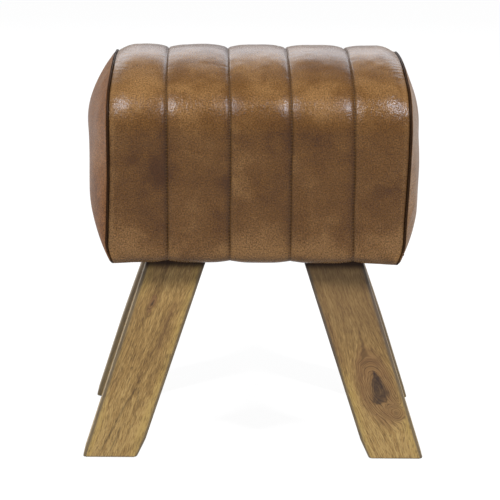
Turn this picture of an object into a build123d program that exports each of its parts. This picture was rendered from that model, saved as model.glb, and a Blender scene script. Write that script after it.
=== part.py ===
from build123d import *
import math
import os

# Small leather stool: a quilted, padded box on four splayed wooden legs.
# Millimetres. X runs left to right, the front faces -Y, +Z is up.
# The origin is on the floor, in the middle of the footprint.

# Overall sizes
overall_height = 520.0        # floor to the crown of the seat
seat_body_height = 240.0      # underside of the cover to the crown
seat_depth = 300.0            # front to back over the padded channels
foot_spread = 446.0           # outside to outside of the feet, left to right

# Seat outline, seen from the end
crown_radius = 300.0          # gentle arch of the top, front to back
top_corner_radius = 65.0      # rounding between the top and the front
bottom_corner_radius = 12.0   # where the leather turns under

# Leather cover
leather = 1.6                 # thickness of the hide
inner_channel_width = 77.4    # seam to seam
end_channel_width = 69.9      # last seam to the end flange
inner_channel_count = 3
seam_depth = 4.0              # how far a seam sinks below the channel crown
cover_gap = 0.3               # clearance between neighbouring soft layers
flange_draw = 9.5             # how far the cover is drawn in at the end seam
flange_draw_run = 30.0        # length over which it draws in
lip_height = 3.5              # turned-out edge of the end seam
flap_width = 25.5             # leather turned under at the front and the back
end_flap_width = 20.0         # leather turned under at the ends
end_flap_margin = 6.0         # end flap stops short of the long flaps

# Sewing thread along the channel seams
thread = 0.9                  # thickness of the stitched line
thread_rise = 0.3             # from the bottom of the seam valley up to the thread

# Padded end panels
end_bulge = 28.0              # swell beyond the end seam
dome_power = 2.3              # how full the swell is between its rim and its middle

# Padding
wadding = 2.0                 # thinnest wadding, under a seam
wadding_end_margin = 10.0     # wadding stops short of the end seam

# Wooden box inside the seat
board = 18.0                  # side and end boards
board_lower_ease = 10.5       # bevel under the front and rear boards, so that the hide turns softly
top_board_thickness = 12.0
box_end_margin = 6.0          # from the end board to the end seam
box_top_drop = 81.0           # crown of the seat down to the top board
batten_width = 40.0           # stiffens the top board, front to back, above the legs
batten_clearance = 0.6        # over the heads of the legs
block_side = 28.0             # triangular glue block, beside the heads of the legs
block_height = 75.0

# Legs
leg_width = 71.0              # across the plank, square to its length
leg_thickness = 42.0
leg_head_gap = 39.0           # between the heads of the left and right legs
leg_head_room = 25.6          # from the head of a leg up to the top board
leg_edge_ease = 2.5           # small bevel on every exposed arris
foot_trim = 3.5               # inner corner of the foot, taken off at the floor
foot_trim_height = 25.0
pad_thickness = 1.5           # felt under each foot
pad_margin = 4.0              # felt stops short of the foot's outline

# Leg bolts, M8 carriage bolts with a penny washer and a nut
bolt_radius = 4.0
bolt_hole_clearance = 0.5
bolt_head_radius = 10.0
bolt_head_height = 4.0
bolt_head_clearance = 1.0
bolt_end_past_nut = 3.0
washer_radius = 12.0
washer_thickness = 2.0
washer_bore_clearance = 0.2
nut_across_flats = 13.0
nut_height = 6.5
nut_bore_clearance = 0.05
bolt_rise_shares = [0.3, 0.75]  # of the leg's height inside the box

# Countersunk wood screws
screw_radius = 2.0
screw_head_radius = 4.0
screw_head_height = 2.4
screw_length = 38.0
screw_tip = 4.0
screw_point_share = 0.25      # of the shank's radius, at the very point
screw_clearance = 0.05
side_screw_margin = 25.0      # from the top and bottom edges of the end boards
batten_screw_pitch = 20.0
top_screw_margin = 40.0       # from the corners of the top board
side_screw_count = 3
top_screw_count = 4

# Dust cover and staples
dust_cloth = 0.8
dust_cover_inset_long = 18.0  # from the front and the back of the seat
dust_cover_end_inset = 10.0   # from the end seam
leg_slot_clearance = 1.0      # cloth cut round a leg
staple_crown = 10.0
staple_wire = 0.8
staple_leg = 6.0
staple_clearance = 0.05
staple_edge = 4.0             # staple line to the edge of the cloth
staple_pitch = 30.0
staple_leg_room = 8.0         # no staple this close to a leg

cut_overrun = 5.0             # how far a cutter runs past what it cuts

# Worked out from the sizes above
seat_bottom = overall_height - seat_body_height
inner_half_length = inner_channel_width * inner_channel_count / 2
flange_x = inner_half_length + end_channel_width
padding_inset = seam_depth + leather + cover_gap + wadding
box_half_depth = seat_depth / 2 - padding_inset - cover_gap
box_half_length = flange_x - box_end_margin
box_bottom = seat_bottom + leather
box_top = overall_height - box_top_drop
board_top = box_top - top_board_thickness
box_inner_half_depth = box_half_depth - board
box_inner_half_length = box_half_length - board
batten_thickness = leg_head_room - batten_clearance
leg_top = board_top - leg_head_room
leg_front_y = -box_inner_half_depth
bolt_heights = [box_bottom + (leg_top - box_bottom) * share for share in bolt_rise_shares]

# Slope of a leg, outwards per unit of height, so that a plank of the given width
# reaches from the foot spread at the floor to the head gap inside the box
leg_reach = (foot_spread - leg_head_gap) / 2
leg_rise = leg_top - pad_thickness
leg_diagonal = math.sqrt(leg_reach ** 2 + leg_rise ** 2 - leg_width ** 2)
leg_slope = (leg_reach * leg_rise - leg_width * leg_diagonal) / (leg_rise ** 2 - leg_width ** 2)
leg_run = leg_width * math.sqrt(1 + leg_slope ** 2)


def save(node, shape):
    """One STEP file for one named piece or group of pieces."""
    export_step(Compound(children=list(shape)) if isinstance(shape, list) else shape, f"parts/{node}.step")


def block(low, high):
    """A box between two corners."""
    size = [b - a for a, b in zip(low, high)]
    middle = [(a + b) / 2 for a, b in zip(low, high)]
    return Pos(*middle) * Box(*size)


def flip_x(shape):
    return mirror(shape, about=Plane.YZ)


def flip_y(shape):
    return mirror(shape, about=Plane.XZ)


def spread(low, high, count):
    """Evenly spaced places from low to high, both ends included."""
    return [low + (high - low) * i / (count - 1) for i in range(count)]


# Closed outline across the seat, square to X: flat underside, upright sides, arched top
def outline(x, half, bottom, top, corner, foot_corner, crown):
    reach = crown - corner
    tilt = math.asin((half - corner) / reach)
    shoulder = top - crown + reach * math.cos(tilt)
    diagonal = math.sqrt(0.5)

    def at(y, z):
        return Vector(x, y, z)

    def corner_point(side, angle):
        return at(side * (half - corner + corner * math.cos(angle)), shoulder + corner * math.sin(angle))

    def foot_point(side):
        return at(side * (half - foot_corner * (1 - diagonal)), bottom + foot_corner * (1 - diagonal))

    top_angle = math.pi / 2 - tilt
    right_top, left_top = corner_point(1, top_angle), corner_point(-1, top_angle)
    right_side, left_side = at(half, shoulder), at(-half, shoulder)
    right_low, left_low = at(half, bottom + foot_corner), at(-half, bottom + foot_corner)
    right_foot, left_foot = at(half - foot_corner, bottom), at(-half + foot_corner, bottom)
    return Wire([
        Edge.make_line(left_foot, right_foot),
        Edge.make_three_point_arc(right_foot, foot_point(1), right_low),
        Edge.make_line(right_low, right_side),
        Edge.make_three_point_arc(right_side, corner_point(1, top_angle / 2), right_top),
        Edge.make_three_point_arc(right_top, at(0, top), left_top),
        Edge.make_three_point_arc(left_top, corner_point(-1, top_angle / 2), left_side),
        Edge.make_line(left_side, left_low),
        Edge.make_three_point_arc(left_low, foot_point(-1), left_foot),
    ])


def seat_outline(x, draw, ply, bottom=None):
    """Seat outline drawn in at the sides and top, and offset inwards by the layers above."""
    inset = draw + ply
    return outline(
        x,
        seat_depth / 2 - inset,
        seat_bottom + ply if bottom is None else bottom,
        overall_height - inset,
        top_corner_radius - inset,
        max(bottom_corner_radius - ply, leather),
        crown_radius - inset,
    )


def prism(ply, x0, x1, bottom):
    """Straight length of the seat outline between two planes across the seat."""
    return extrude(Face(seat_outline(x0, 0, ply, bottom)), x1 - x0, dir=(1, 0, 0))


# Channels: each is a loft through outlines that swell between its two seams
across_shares = [0, 0.1, 0.3, 0.5, 0.7, 0.9, 1]
sink_shares = [1, 0.28, 0.03, 0, 0.03, 0.28, 1]
seam_side_count = 3
flange_step_shares = [0, 1 / 3, 2 / 3, 1]


def inner_channel_places(x0):
    return [(x0 + inner_channel_width * a, seam_depth * s) for a, s in zip(across_shares, sink_shares)]


def end_channel_places():
    """Seam side as on any channel; flange side drawn in along a parabola."""
    seam_side = [
        (inner_half_length + inner_channel_width * a, seam_depth * s)
        for a, s in zip(across_shares[:seam_side_count], sink_shares[:seam_side_count])
    ]
    edge = flange_x - cover_gap / 2
    flange_side = [(edge - flange_draw_run * (1 - k), flange_draw * k * k) for k in flange_step_shares]
    return seam_side + flange_side


def channel_solid(places, ply):
    return Solid.make_loft([seat_outline(x, draw, ply) for x, draw in places])


def open_underside(shape):
    """Leaves only the turned-under flaps at the front and the back."""
    half = seat_depth / 2 - flap_width
    window = block(
        (-flange_x - cut_overrun, -half, seat_bottom - cut_overrun),
        (flange_x + cut_overrun, half, box_bottom + cover_gap),
    )
    return shape - window


def turned_lip(x0):
    """Edge of the hide standing up along the end seam, one thickness wide."""
    outer = Face(seat_outline(x0, flange_draw - lip_height, 0))
    inner = Face(seat_outline(x0, flange_draw, leather))
    return extrude(outer - inner, leather, dir=(1, 0, 0))


def inner_channel(x0):
    places = inner_channel_places(x0)
    return open_underside(channel_solid(places, 0) - channel_solid(places, leather))


def right_end_channel():
    places = end_channel_places()
    shell = channel_solid(places, 0) - channel_solid(places, leather)
    return open_underside(shell + turned_lip(flange_x - cover_gap / 2 - leather))


def channel_wadding(places, x0, x1):
    """Soft fill between a channel of leather and the box, front, top and back."""
    fill = channel_solid(places, leather + cover_gap)
    core = prism(padding_inset, x0 - cut_overrun, x1 + cut_overrun, seat_bottom - cut_overrun)
    span = block(
        (x0 + cover_gap / 2, -seat_depth, box_bottom),
        (x1 - cover_gap / 2, seat_depth, overall_height),
    )
    return (fill - core) & span


def seam_thread(x):
    """Line of stitches in the valley between two channels, round front, top and back."""
    deep = seam_depth - thread_rise
    x0 = x - thread / 2
    ring = Face(seat_outline(x0, deep - thread, 0)) - Face(seat_outline(x0, deep, 0, seat_bottom + thread))
    under = block(
        (x - thread, -seat_depth, seat_bottom - cut_overrun),
        (x + thread, seat_depth, seat_bottom + bottom_corner_radius),
    )
    return extrude(ring, thread, dir=(1, 0, 0)) - under


# Swelling end panel and its pad, as shares of the outline from the end seam in to a small flat middle
dome_shares = [1, 0.94, 0.84, 0.7, 0.52, 0.3]


def swell(x0, bulge, ply):
    """Dome: a loft through the outline as it shrinks towards its middle and rises along a power curve."""
    inset = flange_draw + ply
    low, high = seat_bottom + ply, overall_height - inset
    middle = (low + high) / 2
    sections = []
    for share in dome_shares:
        rise_share = (1 - share ** dome_power) / (1 - dome_shares[-1] ** dome_power)
        sections.append(outline(
            x0 + bulge * rise_share,
            (seat_depth / 2 - inset) * share,
            middle - (middle - low) * share,
            middle + (high - middle) * share,
            (top_corner_radius - inset) * share,
            (bottom_corner_radius - ply) * share,
            (crown_radius - inset) * share,
        ))
    return Solid.make_loft(sections)


def right_end_panel():
    x0 = flange_x + cover_gap / 2
    shell = swell(x0, end_bulge, 0) - swell(x0, end_bulge - leather, leather)
    half = seat_depth / 2 - flap_width - end_flap_margin
    flap = block((x0 - end_flap_width, -half, seat_bottom), (x0 + leather, half, box_bottom))
    return shell + turned_lip(x0) + flap


def right_end_pad():
    ply = leather + cover_gap
    start = box_half_length + cover_gap
    base = extrude(Face(seat_outline(start, flange_draw, ply)), flange_x - start, dir=(1, 0, 0))
    return base + swell(flange_x, end_bulge - ply, ply)


# Wooden legs
def leg_outer_x(z):
    return foot_spread / 2 - leg_slope * (z - pad_thickness)


def leg_middle_x(z):
    return leg_outer_x(z) - leg_run / 2


def leg_plank(grow=0):
    """Front right leg; grow widens it all round, for the slot in the cloth."""
    foot, head = pad_thickness, leg_top
    trim_z = foot + foot_trim_height
    corners = [
        (leg_outer_x(foot) + grow, foot),
        (leg_outer_x(head) + grow, head),
        (leg_outer_x(head) - leg_run - grow, head),
        (leg_outer_x(trim_z) - leg_run - grow, trim_z),
        (leg_outer_x(foot) - leg_run + foot_trim - grow, foot),
    ]
    y0 = leg_front_y - grow
    side = make_face(Polyline([(x, y0, z) for x, z in corners], close=True))
    return extrude(side, leg_thickness + 2 * grow, dir=(0, 1, 0))


def front_right_leg():
    plank = leg_plank()
    eased = [e for e in plank.edges() if e.center().Z < leg_top - leg_edge_ease]
    plank = chamfer(eased, leg_edge_ease)
    for z in bolt_heights:
        plank -= rod_y(leg_middle_x(z), leg_front_y - cut_overrun, z, bolt_radius + bolt_hole_clearance,
                       leg_thickness + 2 * cut_overrun)
    return plank


def rod_y(x, y0, z, radius, length):
    """Cylinder that runs towards +Y from y0."""
    return Plane(origin=(x, y0, z), z_dir=(0, 1, 0)) * Cylinder(
        radius, length, align=(Align.CENTER, Align.CENTER, Align.MIN))


def foot_pad():
    """Front right felt pad, inset from the foot's outline."""
    outer = leg_outer_x(pad_thickness) - pad_margin
    inner = leg_outer_x(pad_thickness) - leg_run + foot_trim + pad_margin
    return block(
        (inner, leg_front_y + pad_margin, 0),
        (outer, leg_front_y + leg_thickness - pad_margin, pad_thickness),
    )


# Bolts through the front board and the leg, head sunk flush under the padding
head_seat_y = -box_half_depth + bolt_head_height
leg_inner_y = leg_front_y + leg_thickness


def leg_bolt(z):
    x = leg_middle_x(z)
    shank_end = leg_inner_y + washer_thickness + nut_height + bolt_end_past_nut
    head = rod_y(x, -box_half_depth, z, bolt_head_radius, bolt_head_height)
    shank = rod_y(x, head_seat_y - bolt_head_height / 2, z, bolt_radius,
                  shank_end - head_seat_y + bolt_head_height / 2)
    rim = head.edges().filter_by(GeomType.CIRCLE).sort_by(Axis.Y)[0]
    return fillet(rim, bolt_head_height / 2) + shank


def leg_washer(z):
    x = leg_middle_x(z)
    ring = rod_y(x, leg_inner_y, z, washer_radius, washer_thickness)
    return ring - rod_y(x, leg_inner_y - cut_overrun, z, bolt_radius + washer_bore_clearance,
                        washer_thickness + 2 * cut_overrun)


def leg_nut(z):
    x = leg_middle_x(z)
    y0 = leg_inner_y + washer_thickness
    face_plane = Plane(origin=(x, y0, z), z_dir=(0, 1, 0))
    hexagon = face_plane * RegularPolygon(nut_across_flats / 2, 6, major_radius=False)
    nut = extrude(hexagon, nut_height, dir=(0, 1, 0))
    return nut - rod_y(x, y0 - cut_overrun, z, bolt_radius + nut_bore_clearance, nut_height + 2 * cut_overrun)


def four_ways(shape):
    """The piece and its three mirror images: front right, front left, rear right, rear left."""
    return [shape, flip_x(shape), flip_y(shape), flip_y(flip_x(shape))]


# Wood screws
def screw(origin, direction, grow=0):
    """Countersunk screw; grow makes the hole that it sits in."""
    place = Plane(origin=origin, z_dir=direction)
    low = (Align.CENTER, Align.CENTER, Align.MIN)
    radius = screw_radius + grow
    shank_length = screw_length - screw_head_height - screw_tip
    head = Cone(screw_head_radius + grow, radius, screw_head_height, align=low)
    shank = Pos(0, 0, screw_head_height) * Cylinder(radius, shank_length, align=low)
    tip = Pos(0, 0, screw_head_height + shank_length) * Cone(
        radius, radius * screw_point_share, screw_tip + grow, align=low)
    return place * (head + shank + tip)


def side_screw_places():
    """Front board screws: three into each end board and two into the batten."""
    end_x = box_half_length - board / 2
    end_zs = spread(box_bottom + side_screw_margin, board_top - side_screw_margin, side_screw_count)
    batten_z = board_top - batten_thickness / 2
    ends = [(side * end_x, -box_half_depth, z) for side in (-1, 1) for z in end_zs]
    return ends + [(side * batten_screw_pitch / 2, -box_half_depth, batten_z) for side in (-1, 1)]


def top_screw_places():
    """Top board screws, down into the front and the rear boards."""
    y = box_half_depth - board / 2
    xs = spread(-box_half_length + top_screw_margin, box_half_length - top_screw_margin, top_screw_count)
    return [(x, side * y, box_top) for side in (-1, 1) for x in xs]


def side_screws(grow=0):
    front = [screw(p, (0, 1, 0), grow) for p in side_screw_places()]
    return front + [flip_y(s) for s in front]


def top_screws(grow=0):
    return [screw(p, (0, 0, -1), grow) for p in top_screw_places()]


# Staples that hold the dust cover and the leather flaps to the boards
def staple_line():
    """Places and directions of the staples round the cloth, none at a leg."""
    long_y = seat_depth / 2 - dust_cover_inset_long - staple_edge
    end_x = flange_x - dust_cover_end_inset - staple_edge
    leg_out = leg_outer_x(seat_bottom) + staple_leg_room
    leg_in = leg_out - leg_run - 2 * staple_leg_room
    long_count = int(2 * (end_x - staple_crown) / staple_pitch)
    end_count = int(2 * (leg_front_y + staple_pitch) / -staple_pitch)
    places = []
    for x in spread(-end_x + staple_crown, end_x - staple_crown, long_count):
        if not leg_in < abs(x) < leg_out:
            places += [(x, -long_y, 0), (x, long_y, 0)]
    for y in spread(leg_front_y + staple_pitch, -leg_front_y - staple_pitch, end_count):
        places += [(-end_x, y, 90), (end_x, y, 90)]
    return places


def staple(x, y, turn, grow=0):
    """U-shaped wire staple, crown down against the cloth, legs up into the wood."""
    wire = staple_wire / 2 + grow
    half = staple_crown / 2
    z0 = seat_bottom - dust_cloth - staple_wire
    crown = block((-half - grow, -wire, z0 - grow), (half + grow, wire, z0 + staple_wire))
    tip = z0 + staple_wire + dust_cloth + leather + staple_leg + grow
    right = block((half - staple_wire - grow, -wire, z0), (half + grow, wire, tip))
    return Pos(x, y, 0) * Rot(0, 0, turn) * (crown + right + flip_x(right))


def bore_for(shape, cutters):
    """Takes from a piece only the cutters that reach it."""
    bounds = shape.bounding_box()
    near = [c for c in cutters if c.bounding_box().overlaps(bounds)]
    return shape - near if near else shape


# Boards of the box
side_holes = side_screws(screw_clearance)
top_holes = top_screws(screw_clearance)
staple_holes = [staple(x, y, turn, staple_clearance) for x, y, turn in staple_line()]
front_board = block(
    (-box_half_length, -box_half_depth, box_bottom),
    (box_half_length, -box_inner_half_depth, board_top),
)
lower_edges = front_board.edges().filter_by(Axis.X).group_by(Axis.Z)[0]
front_board = chamfer(lower_edges.sort_by(Axis.Y)[0], board_lower_ease)
for z in bolt_heights:
    for side in (-1, 1):
        x = side * leg_middle_x(z)
        front_board -= rod_y(x, -box_half_depth - cut_overrun, z, bolt_radius + bolt_hole_clearance,
                             board + 2 * cut_overrun)
        front_board -= rod_y(x, -box_half_depth - cut_overrun, z, bolt_head_radius + bolt_head_clearance,
                             bolt_head_height + cut_overrun)
rear_board = flip_y(front_board)
right_end_board = block(
    (box_inner_half_length, -box_inner_half_depth, box_bottom),
    (box_half_length, box_inner_half_depth, board_top),
)
left_end_board = flip_x(right_end_board)
top_board = block(
    (-box_half_length, -box_half_depth, board_top),
    (box_half_length, box_half_depth, box_top),
)
top_batten = block(
    (-batten_width / 2, -box_inner_half_depth, board_top - batten_thickness),
    (batten_width / 2, box_inner_half_depth, board_top),
)
wood_cutters = side_holes + top_holes + staple_holes
boards = {
    "front_board": front_board,
    "rear_board": rear_board,
    "left_end_board": left_end_board,
    "right_end_board": right_end_board,
    "top_board": top_board,
    "top_batten": top_batten,
}
for node, shape in boards.items():
    save(node, bore_for(shape, wood_cutters))


# Glue blocks in the four inner corners of the box
def corner_block():
    x, y = box_inner_half_length, -box_inner_half_depth
    z0 = board_top - block_height
    face = make_face(Polyline([(x, y, z0), (x - block_side, y, z0), (x, y + block_side, z0)], close=True))
    return extrude(face, block_height, dir=(0, 0, 1))


save("corner_blocks", [bore_for(b, side_holes + top_holes) for b in four_ways(corner_block())])

# Legs, felt pads and leg hardware
quarter_names = ["front_right", "front_left", "rear_right", "rear_left"]
leg_shapes = four_ways(front_right_leg())
for name, leg, pad in zip(quarter_names, leg_shapes, four_ways(foot_pad())):
    save(f"leg_{name}", leg)
    save(f"foot_pad_{name}", pad)
save("leg_bolts", [b for z in bolt_heights for b in four_ways(leg_bolt(z))])
save("leg_washers", [w for z in bolt_heights for w in four_ways(leg_washer(z))])
save("leg_nuts", [n for z in bolt_heights for n in four_ways(leg_nut(z))])
save("side_screws", side_screws())
save("top_screws", top_screws())

# Foam block on the top board
foam_top = prism(padding_inset + cover_gap, -box_half_length, box_half_length, seat_bottom)
save("foam_top", foam_top & block(
    (-flange_x, -seat_depth, box_top),
    (flange_x, seat_depth, overall_height),
))

# Channels of leather, numbered from the left, with their wadding
seams = [-inner_half_length + inner_channel_width * i for i in range(inner_channel_count)]
end_leather = right_end_channel()
end_wadding = channel_wadding(end_channel_places(), inner_half_length, flange_x - wadding_end_margin)
leathers = [flip_x(end_leather)] + [inner_channel(x0) for x0 in seams] + [end_leather]
waddings = [flip_x(end_wadding)]
waddings += [channel_wadding(inner_channel_places(x0), x0, x0 + inner_channel_width) for x0 in seams]
waddings += [end_wadding]
for number, (hide, fill) in enumerate(zip(leathers, waddings), start=1):
    save(f"leather_channel_{number}", bore_for(hide, staple_holes))
    save(f"wadding_{number}", fill)

save("seam_threads", [seam_thread(x) for x in seams + [inner_half_length]])

# Padded ends
end_panel = bore_for(right_end_panel(), staple_holes)
end_pad = right_end_pad()
save("leather_end_right", end_panel)
save("leather_end_left", flip_x(end_panel))
save("end_pad_right", end_pad)
save("end_pad_left", flip_x(end_pad))

# Dust cover under the seat, cut round the legs
dust_cover = block(
    (-flange_x + dust_cover_end_inset, -seat_depth / 2 + dust_cover_inset_long, seat_bottom - dust_cloth),
    (flange_x - dust_cover_end_inset, seat_depth / 2 - dust_cover_inset_long, seat_bottom),
)
for slot in four_ways(leg_plank(leg_slot_clearance)):
    dust_cover -= slot
save("dust_cover", bore_for(dust_cover, staple_holes))
save("staples", [staple(x, y, turn) for x, y, turn in staple_line()])
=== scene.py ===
import math

import bpy
import numpy as np
from mathutils import Matrix, Vector


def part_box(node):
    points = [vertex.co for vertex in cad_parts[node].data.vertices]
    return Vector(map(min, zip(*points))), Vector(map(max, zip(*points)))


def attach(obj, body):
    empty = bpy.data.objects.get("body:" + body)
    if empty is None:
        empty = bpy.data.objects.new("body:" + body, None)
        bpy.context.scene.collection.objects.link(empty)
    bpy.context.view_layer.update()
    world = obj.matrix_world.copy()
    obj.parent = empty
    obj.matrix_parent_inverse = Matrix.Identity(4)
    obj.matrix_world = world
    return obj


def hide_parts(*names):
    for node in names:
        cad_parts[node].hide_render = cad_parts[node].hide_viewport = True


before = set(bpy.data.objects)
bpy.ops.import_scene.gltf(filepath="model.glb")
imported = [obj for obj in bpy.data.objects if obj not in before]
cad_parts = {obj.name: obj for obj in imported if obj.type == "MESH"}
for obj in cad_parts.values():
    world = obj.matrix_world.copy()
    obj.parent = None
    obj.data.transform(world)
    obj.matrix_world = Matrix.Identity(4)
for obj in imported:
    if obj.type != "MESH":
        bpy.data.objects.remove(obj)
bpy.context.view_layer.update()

# Quilted leather stool on four splayed wooden legs. Metres, front towards -Y, feet on z = 0.
print("frame loaded:", len(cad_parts), "nodes")

scene = bpy.context.scene
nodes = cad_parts

# Camera, in front of the stool and a little above it
cameraView = {
    "place": (-0.0214, -1.952, 0.857),
    "pitch": 17.32,          # degrees down
    "yaw": -0.47,
    "roll": 0.53,
    "focalPixels": 1527.0,
    "framePixels": 500.0,
    "sensor": 36.0,          # mm
}


def buildCamera(view):
    pitch, yaw, roll = (math.radians(view[key]) for key in ("pitch", "yaw", "roll"))
    right = Vector((math.cos(yaw), math.sin(yaw), 0))
    ahead = Vector((-math.sin(yaw) * math.cos(pitch), math.cos(yaw) * math.cos(pitch), -math.sin(pitch)))
    down = ahead.cross(right)
    rolledRight = right * math.cos(roll) - down * math.sin(roll)
    rolledDown = right * math.sin(roll) + down * math.cos(roll)
    data = bpy.data.cameras.new("studioCamera")
    data.sensor_width = view["sensor"]
    data.lens = view["focalPixels"] / view["framePixels"] * view["sensor"]
    data.clip_end = 50
    camera = bpy.data.objects.new("studioCamera", data)
    axes = Matrix((rolledRight, -rolledDown, -ahead)).transposed()
    camera.matrix_world = Matrix.Translation(view["place"]) @ axes.to_4x4()
    scene.collection.objects.link(camera)
    scene.camera = camera


buildCamera(cameraView)

# Mesh helpers


def smoothStep(low, high, value):
    # 0 below low, 1 above high, and a cubic S between them
    share = np.clip((value - low) / (high - low), 0, 1)
    return share * share * (3 - 2 * share)


def smoothed(values, spread, reach):
    # Gaussian average along a row of values, with the two end values carried on outwards
    kernel = np.exp(-0.5 * (np.arange(-reach, reach + 1) / spread) ** 2)
    return np.convolve(np.pad(values, reach, mode="edge"), kernel / kernel.sum(), mode="valid")


def unit(vectors):
    return vectors / np.maximum(np.linalg.norm(vectors, axis=-1, keepdims=True), 1e-12)


def softNoise(x, y, seed):
    # Random heights from -1 to 1 on a unit lattice, blended between the nearest four with a quintic
    table = np.random.default_rng(seed).uniform(-1, 1, (128, 128))
    xCell, yCell = np.floor(x).astype(int), np.floor(y).astype(int)
    xPart, yPart = x - xCell, y - yCell
    xPart = xPart ** 3 * (xPart * (xPart * 6 - 15) + 10)
    yPart = yPart ** 3 * (yPart * (yPart * 6 - 15) + 10)

    def corner(dx, dy):
        return table[(yCell + dy) % 128, (xCell + dx) % 128]

    low = corner(0, 0) * (1 - xPart) + corner(1, 0) * xPart
    high = corner(0, 1) * (1 - xPart) + corner(1, 1) * xPart
    return low * (1 - yPart) + high * yPart


def gridFaces(rows, columns, wrapColumns=False, wrapRows=False):
    # Quads of a grid, numbered row by row; columns to the right and rows upwards face the viewer
    row = np.arange(rows if wrapRows else rows - 1)[:, None]
    column = np.arange(columns if wrapColumns else columns - 1)[None, :]
    nextRow, nextColumn = (row + 1) % rows, (column + 1) % columns
    quads = [row * columns + column, row * columns + nextColumn,
             nextRow * columns + nextColumn, nextRow * columns + column]
    return np.stack([q.ravel() for q in quads], axis=1).tolist()


def addField(piece, name, field):
    # A number or a vector for each vertex, for the materials to read
    kind, entry = ("FLOAT_VECTOR", "vector") if field.ndim == 2 else ("FLOAT", "value")
    layer = piece.data.attributes.new(name, kind, "POINT")
    layer.data.foreach_set(entry, field.astype(np.float32).ravel())


def makePiece(name, points, faces, uv=None, values=None):
    mesh = bpy.data.meshes.new(name)
    mesh.from_pydata(np.asarray(points).reshape(-1, 3).tolist(), [], faces)
    if uv is not None:
        corners = np.empty(len(mesh.loops), dtype=np.int32)
        mesh.loops.foreach_get("vertex_index", corners)
        layer = mesh.uv_layers.new(name="surface")
        layer.data.foreach_set("uv", uv.reshape(-1, 2)[corners].astype(np.float32).ravel())
    mesh.polygons.foreach_set("use_smooth", np.ones(len(mesh.polygons), dtype=bool))
    piece = bpy.data.objects.new(name, mesh)
    for key, field in (values or {}).items():
        addField(piece, key, field)
    mesh.update()
    scene.collection.objects.link(piece)
    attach(piece, "root")
    return piece


# Seat outline seen from its end, as one closed loop
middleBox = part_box("leather_channel_3")
seat = {
    "halfDepth": middleBox[1][1],
    "bottom": middleBox[0][2],
    "top": middleBox[1][2],
    "crown": 0.300,          # radius of the arch of the top
    "corner": 0.065,         # radius between the top and the front
    "foot": 0.012,           # radius where the hide turns under
    "flap": 0.0255,          # hide turned under
    "hide": 0.0012,          # its thickness
    "soften": 0.004,         # eases the joins between the arcs
    "samples": 4000,
    "standing": (0.004, 0.012),   # seams and lips come to their full depth between foot and wall
    "crestEase": (0.010, 0.030),  # what is deeper on the crest comes in between shoulder and crown
    "sag": 0.0056,           # the padding hangs a little below the frame along the lower edges
    "sagStart": (-0.012, 0.004),
    "sagFade": 0.040,
    "cornerSag": 0.0018,     # and more at the ends
    "cornerAt": 0.178,
    "cornerRun": 0.022,
}


def buildOutline(s):
    # Heading turns by the arc's angle along each arc and stays the same along each straight run;
    # the outline is the running sum of the heading's cosine and sine. It starts in the middle
    # of the underside and goes round the front, the top and the back.
    tilt = math.asin((s["halfDepth"] - s["corner"]) / (s["crown"] - s["corner"]))
    shoulder = s["top"] - s["crown"] + (s["crown"] - s["corner"]) * math.cos(tilt)
    half = [
        (s["halfDepth"] - s["foot"], 0),
        (s["foot"] * math.pi / 2, math.pi / 2),
        (shoulder - s["bottom"] - s["foot"], 0),
        (s["corner"] * (math.pi / 2 - tilt), math.pi / 2 - tilt),
    ]
    runs = half + [(2 * s["crown"] * tilt, 2 * tilt)] + half[::-1]
    knots = np.concatenate([[0], np.cumsum([length for length, turn in runs])])
    headings = math.pi - np.concatenate([[0], np.cumsum([turn for length, turn in runs])])
    place = np.linspace(0, knots[-1], s["samples"])
    step = place[1]
    heading = np.interp(place, knots, headings)
    heading = smoothed(heading, s["soften"] / step, int(3 * s["soften"] / step))
    y = np.concatenate([[0], np.cumsum(np.cos((heading[1:] + heading[:-1]) / 2)) * step])
    z = np.concatenate([[0], np.cumsum(np.sin((heading[1:] + heading[:-1]) / 2)) * step])
    y -= (y.max() + y.min()) / 2
    z += s["bottom"] - z.min()
    return {"knots": knots, "place": place, "heading": heading, "y": y, "z": z, "length": knots[-1]}


outline = buildOutline(seat)
frontFlap = seat["halfDepth"] - seat["flap"]
rearFlap = outline["length"] - frontFlap
frontFoot, frontWall, frontShoulder, frontCrown = outline["knots"][1:5]
rearCrown, rearShoulder, rearWall, rearFoot = outline["knots"][5:9]


def onOutline(place):
    # Point and outward direction on the outline, at an arc length from the middle of the underside
    heading = np.interp(place, outline["place"], outline["heading"])
    y = np.interp(place, outline["place"], outline["y"])
    z = np.interp(place, outline["place"], outline["z"])
    return y, z, -np.sin(heading), np.cos(heading)


def fromMiddle(place):
    # Arc length from the middle of the underside, the shorter way round
    return np.minimum(place, outline["length"] - place)


def standing(place):
    # 1 on the front, top and back, 0 on the underside, easing along the lower corners
    low, high = seat["standing"]
    return smoothStep(frontFoot + low, frontWall + high, fromMiddle(place))


def crestShare(place):
    # 1 over the crest, 0 on the front and the back
    low, high = seat["crestEase"]
    up = smoothStep(frontShoulder + low, frontCrown + high, place)
    return up * (1 - smoothStep(rearCrown - high, rearShoulder - low, place))


def footSag(x, place):
    # How far the hide hangs down at the lower corners: a hump along the outline, deeper at the ends
    near = fromMiddle(place)
    low, high = seat["sagStart"]
    hump = smoothStep(frontFoot + low, frontFoot + high, near)
    hump = hump * (1 - smoothStep(frontWall, frontWall + seat["sagFade"], near))
    atEnd = np.exp(-((np.abs(x) - seat["cornerAt"]) / seat["cornerRun"]) ** 2)
    return hump * (seat["sag"] + seat["cornerSag"] * atEnd)


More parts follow.
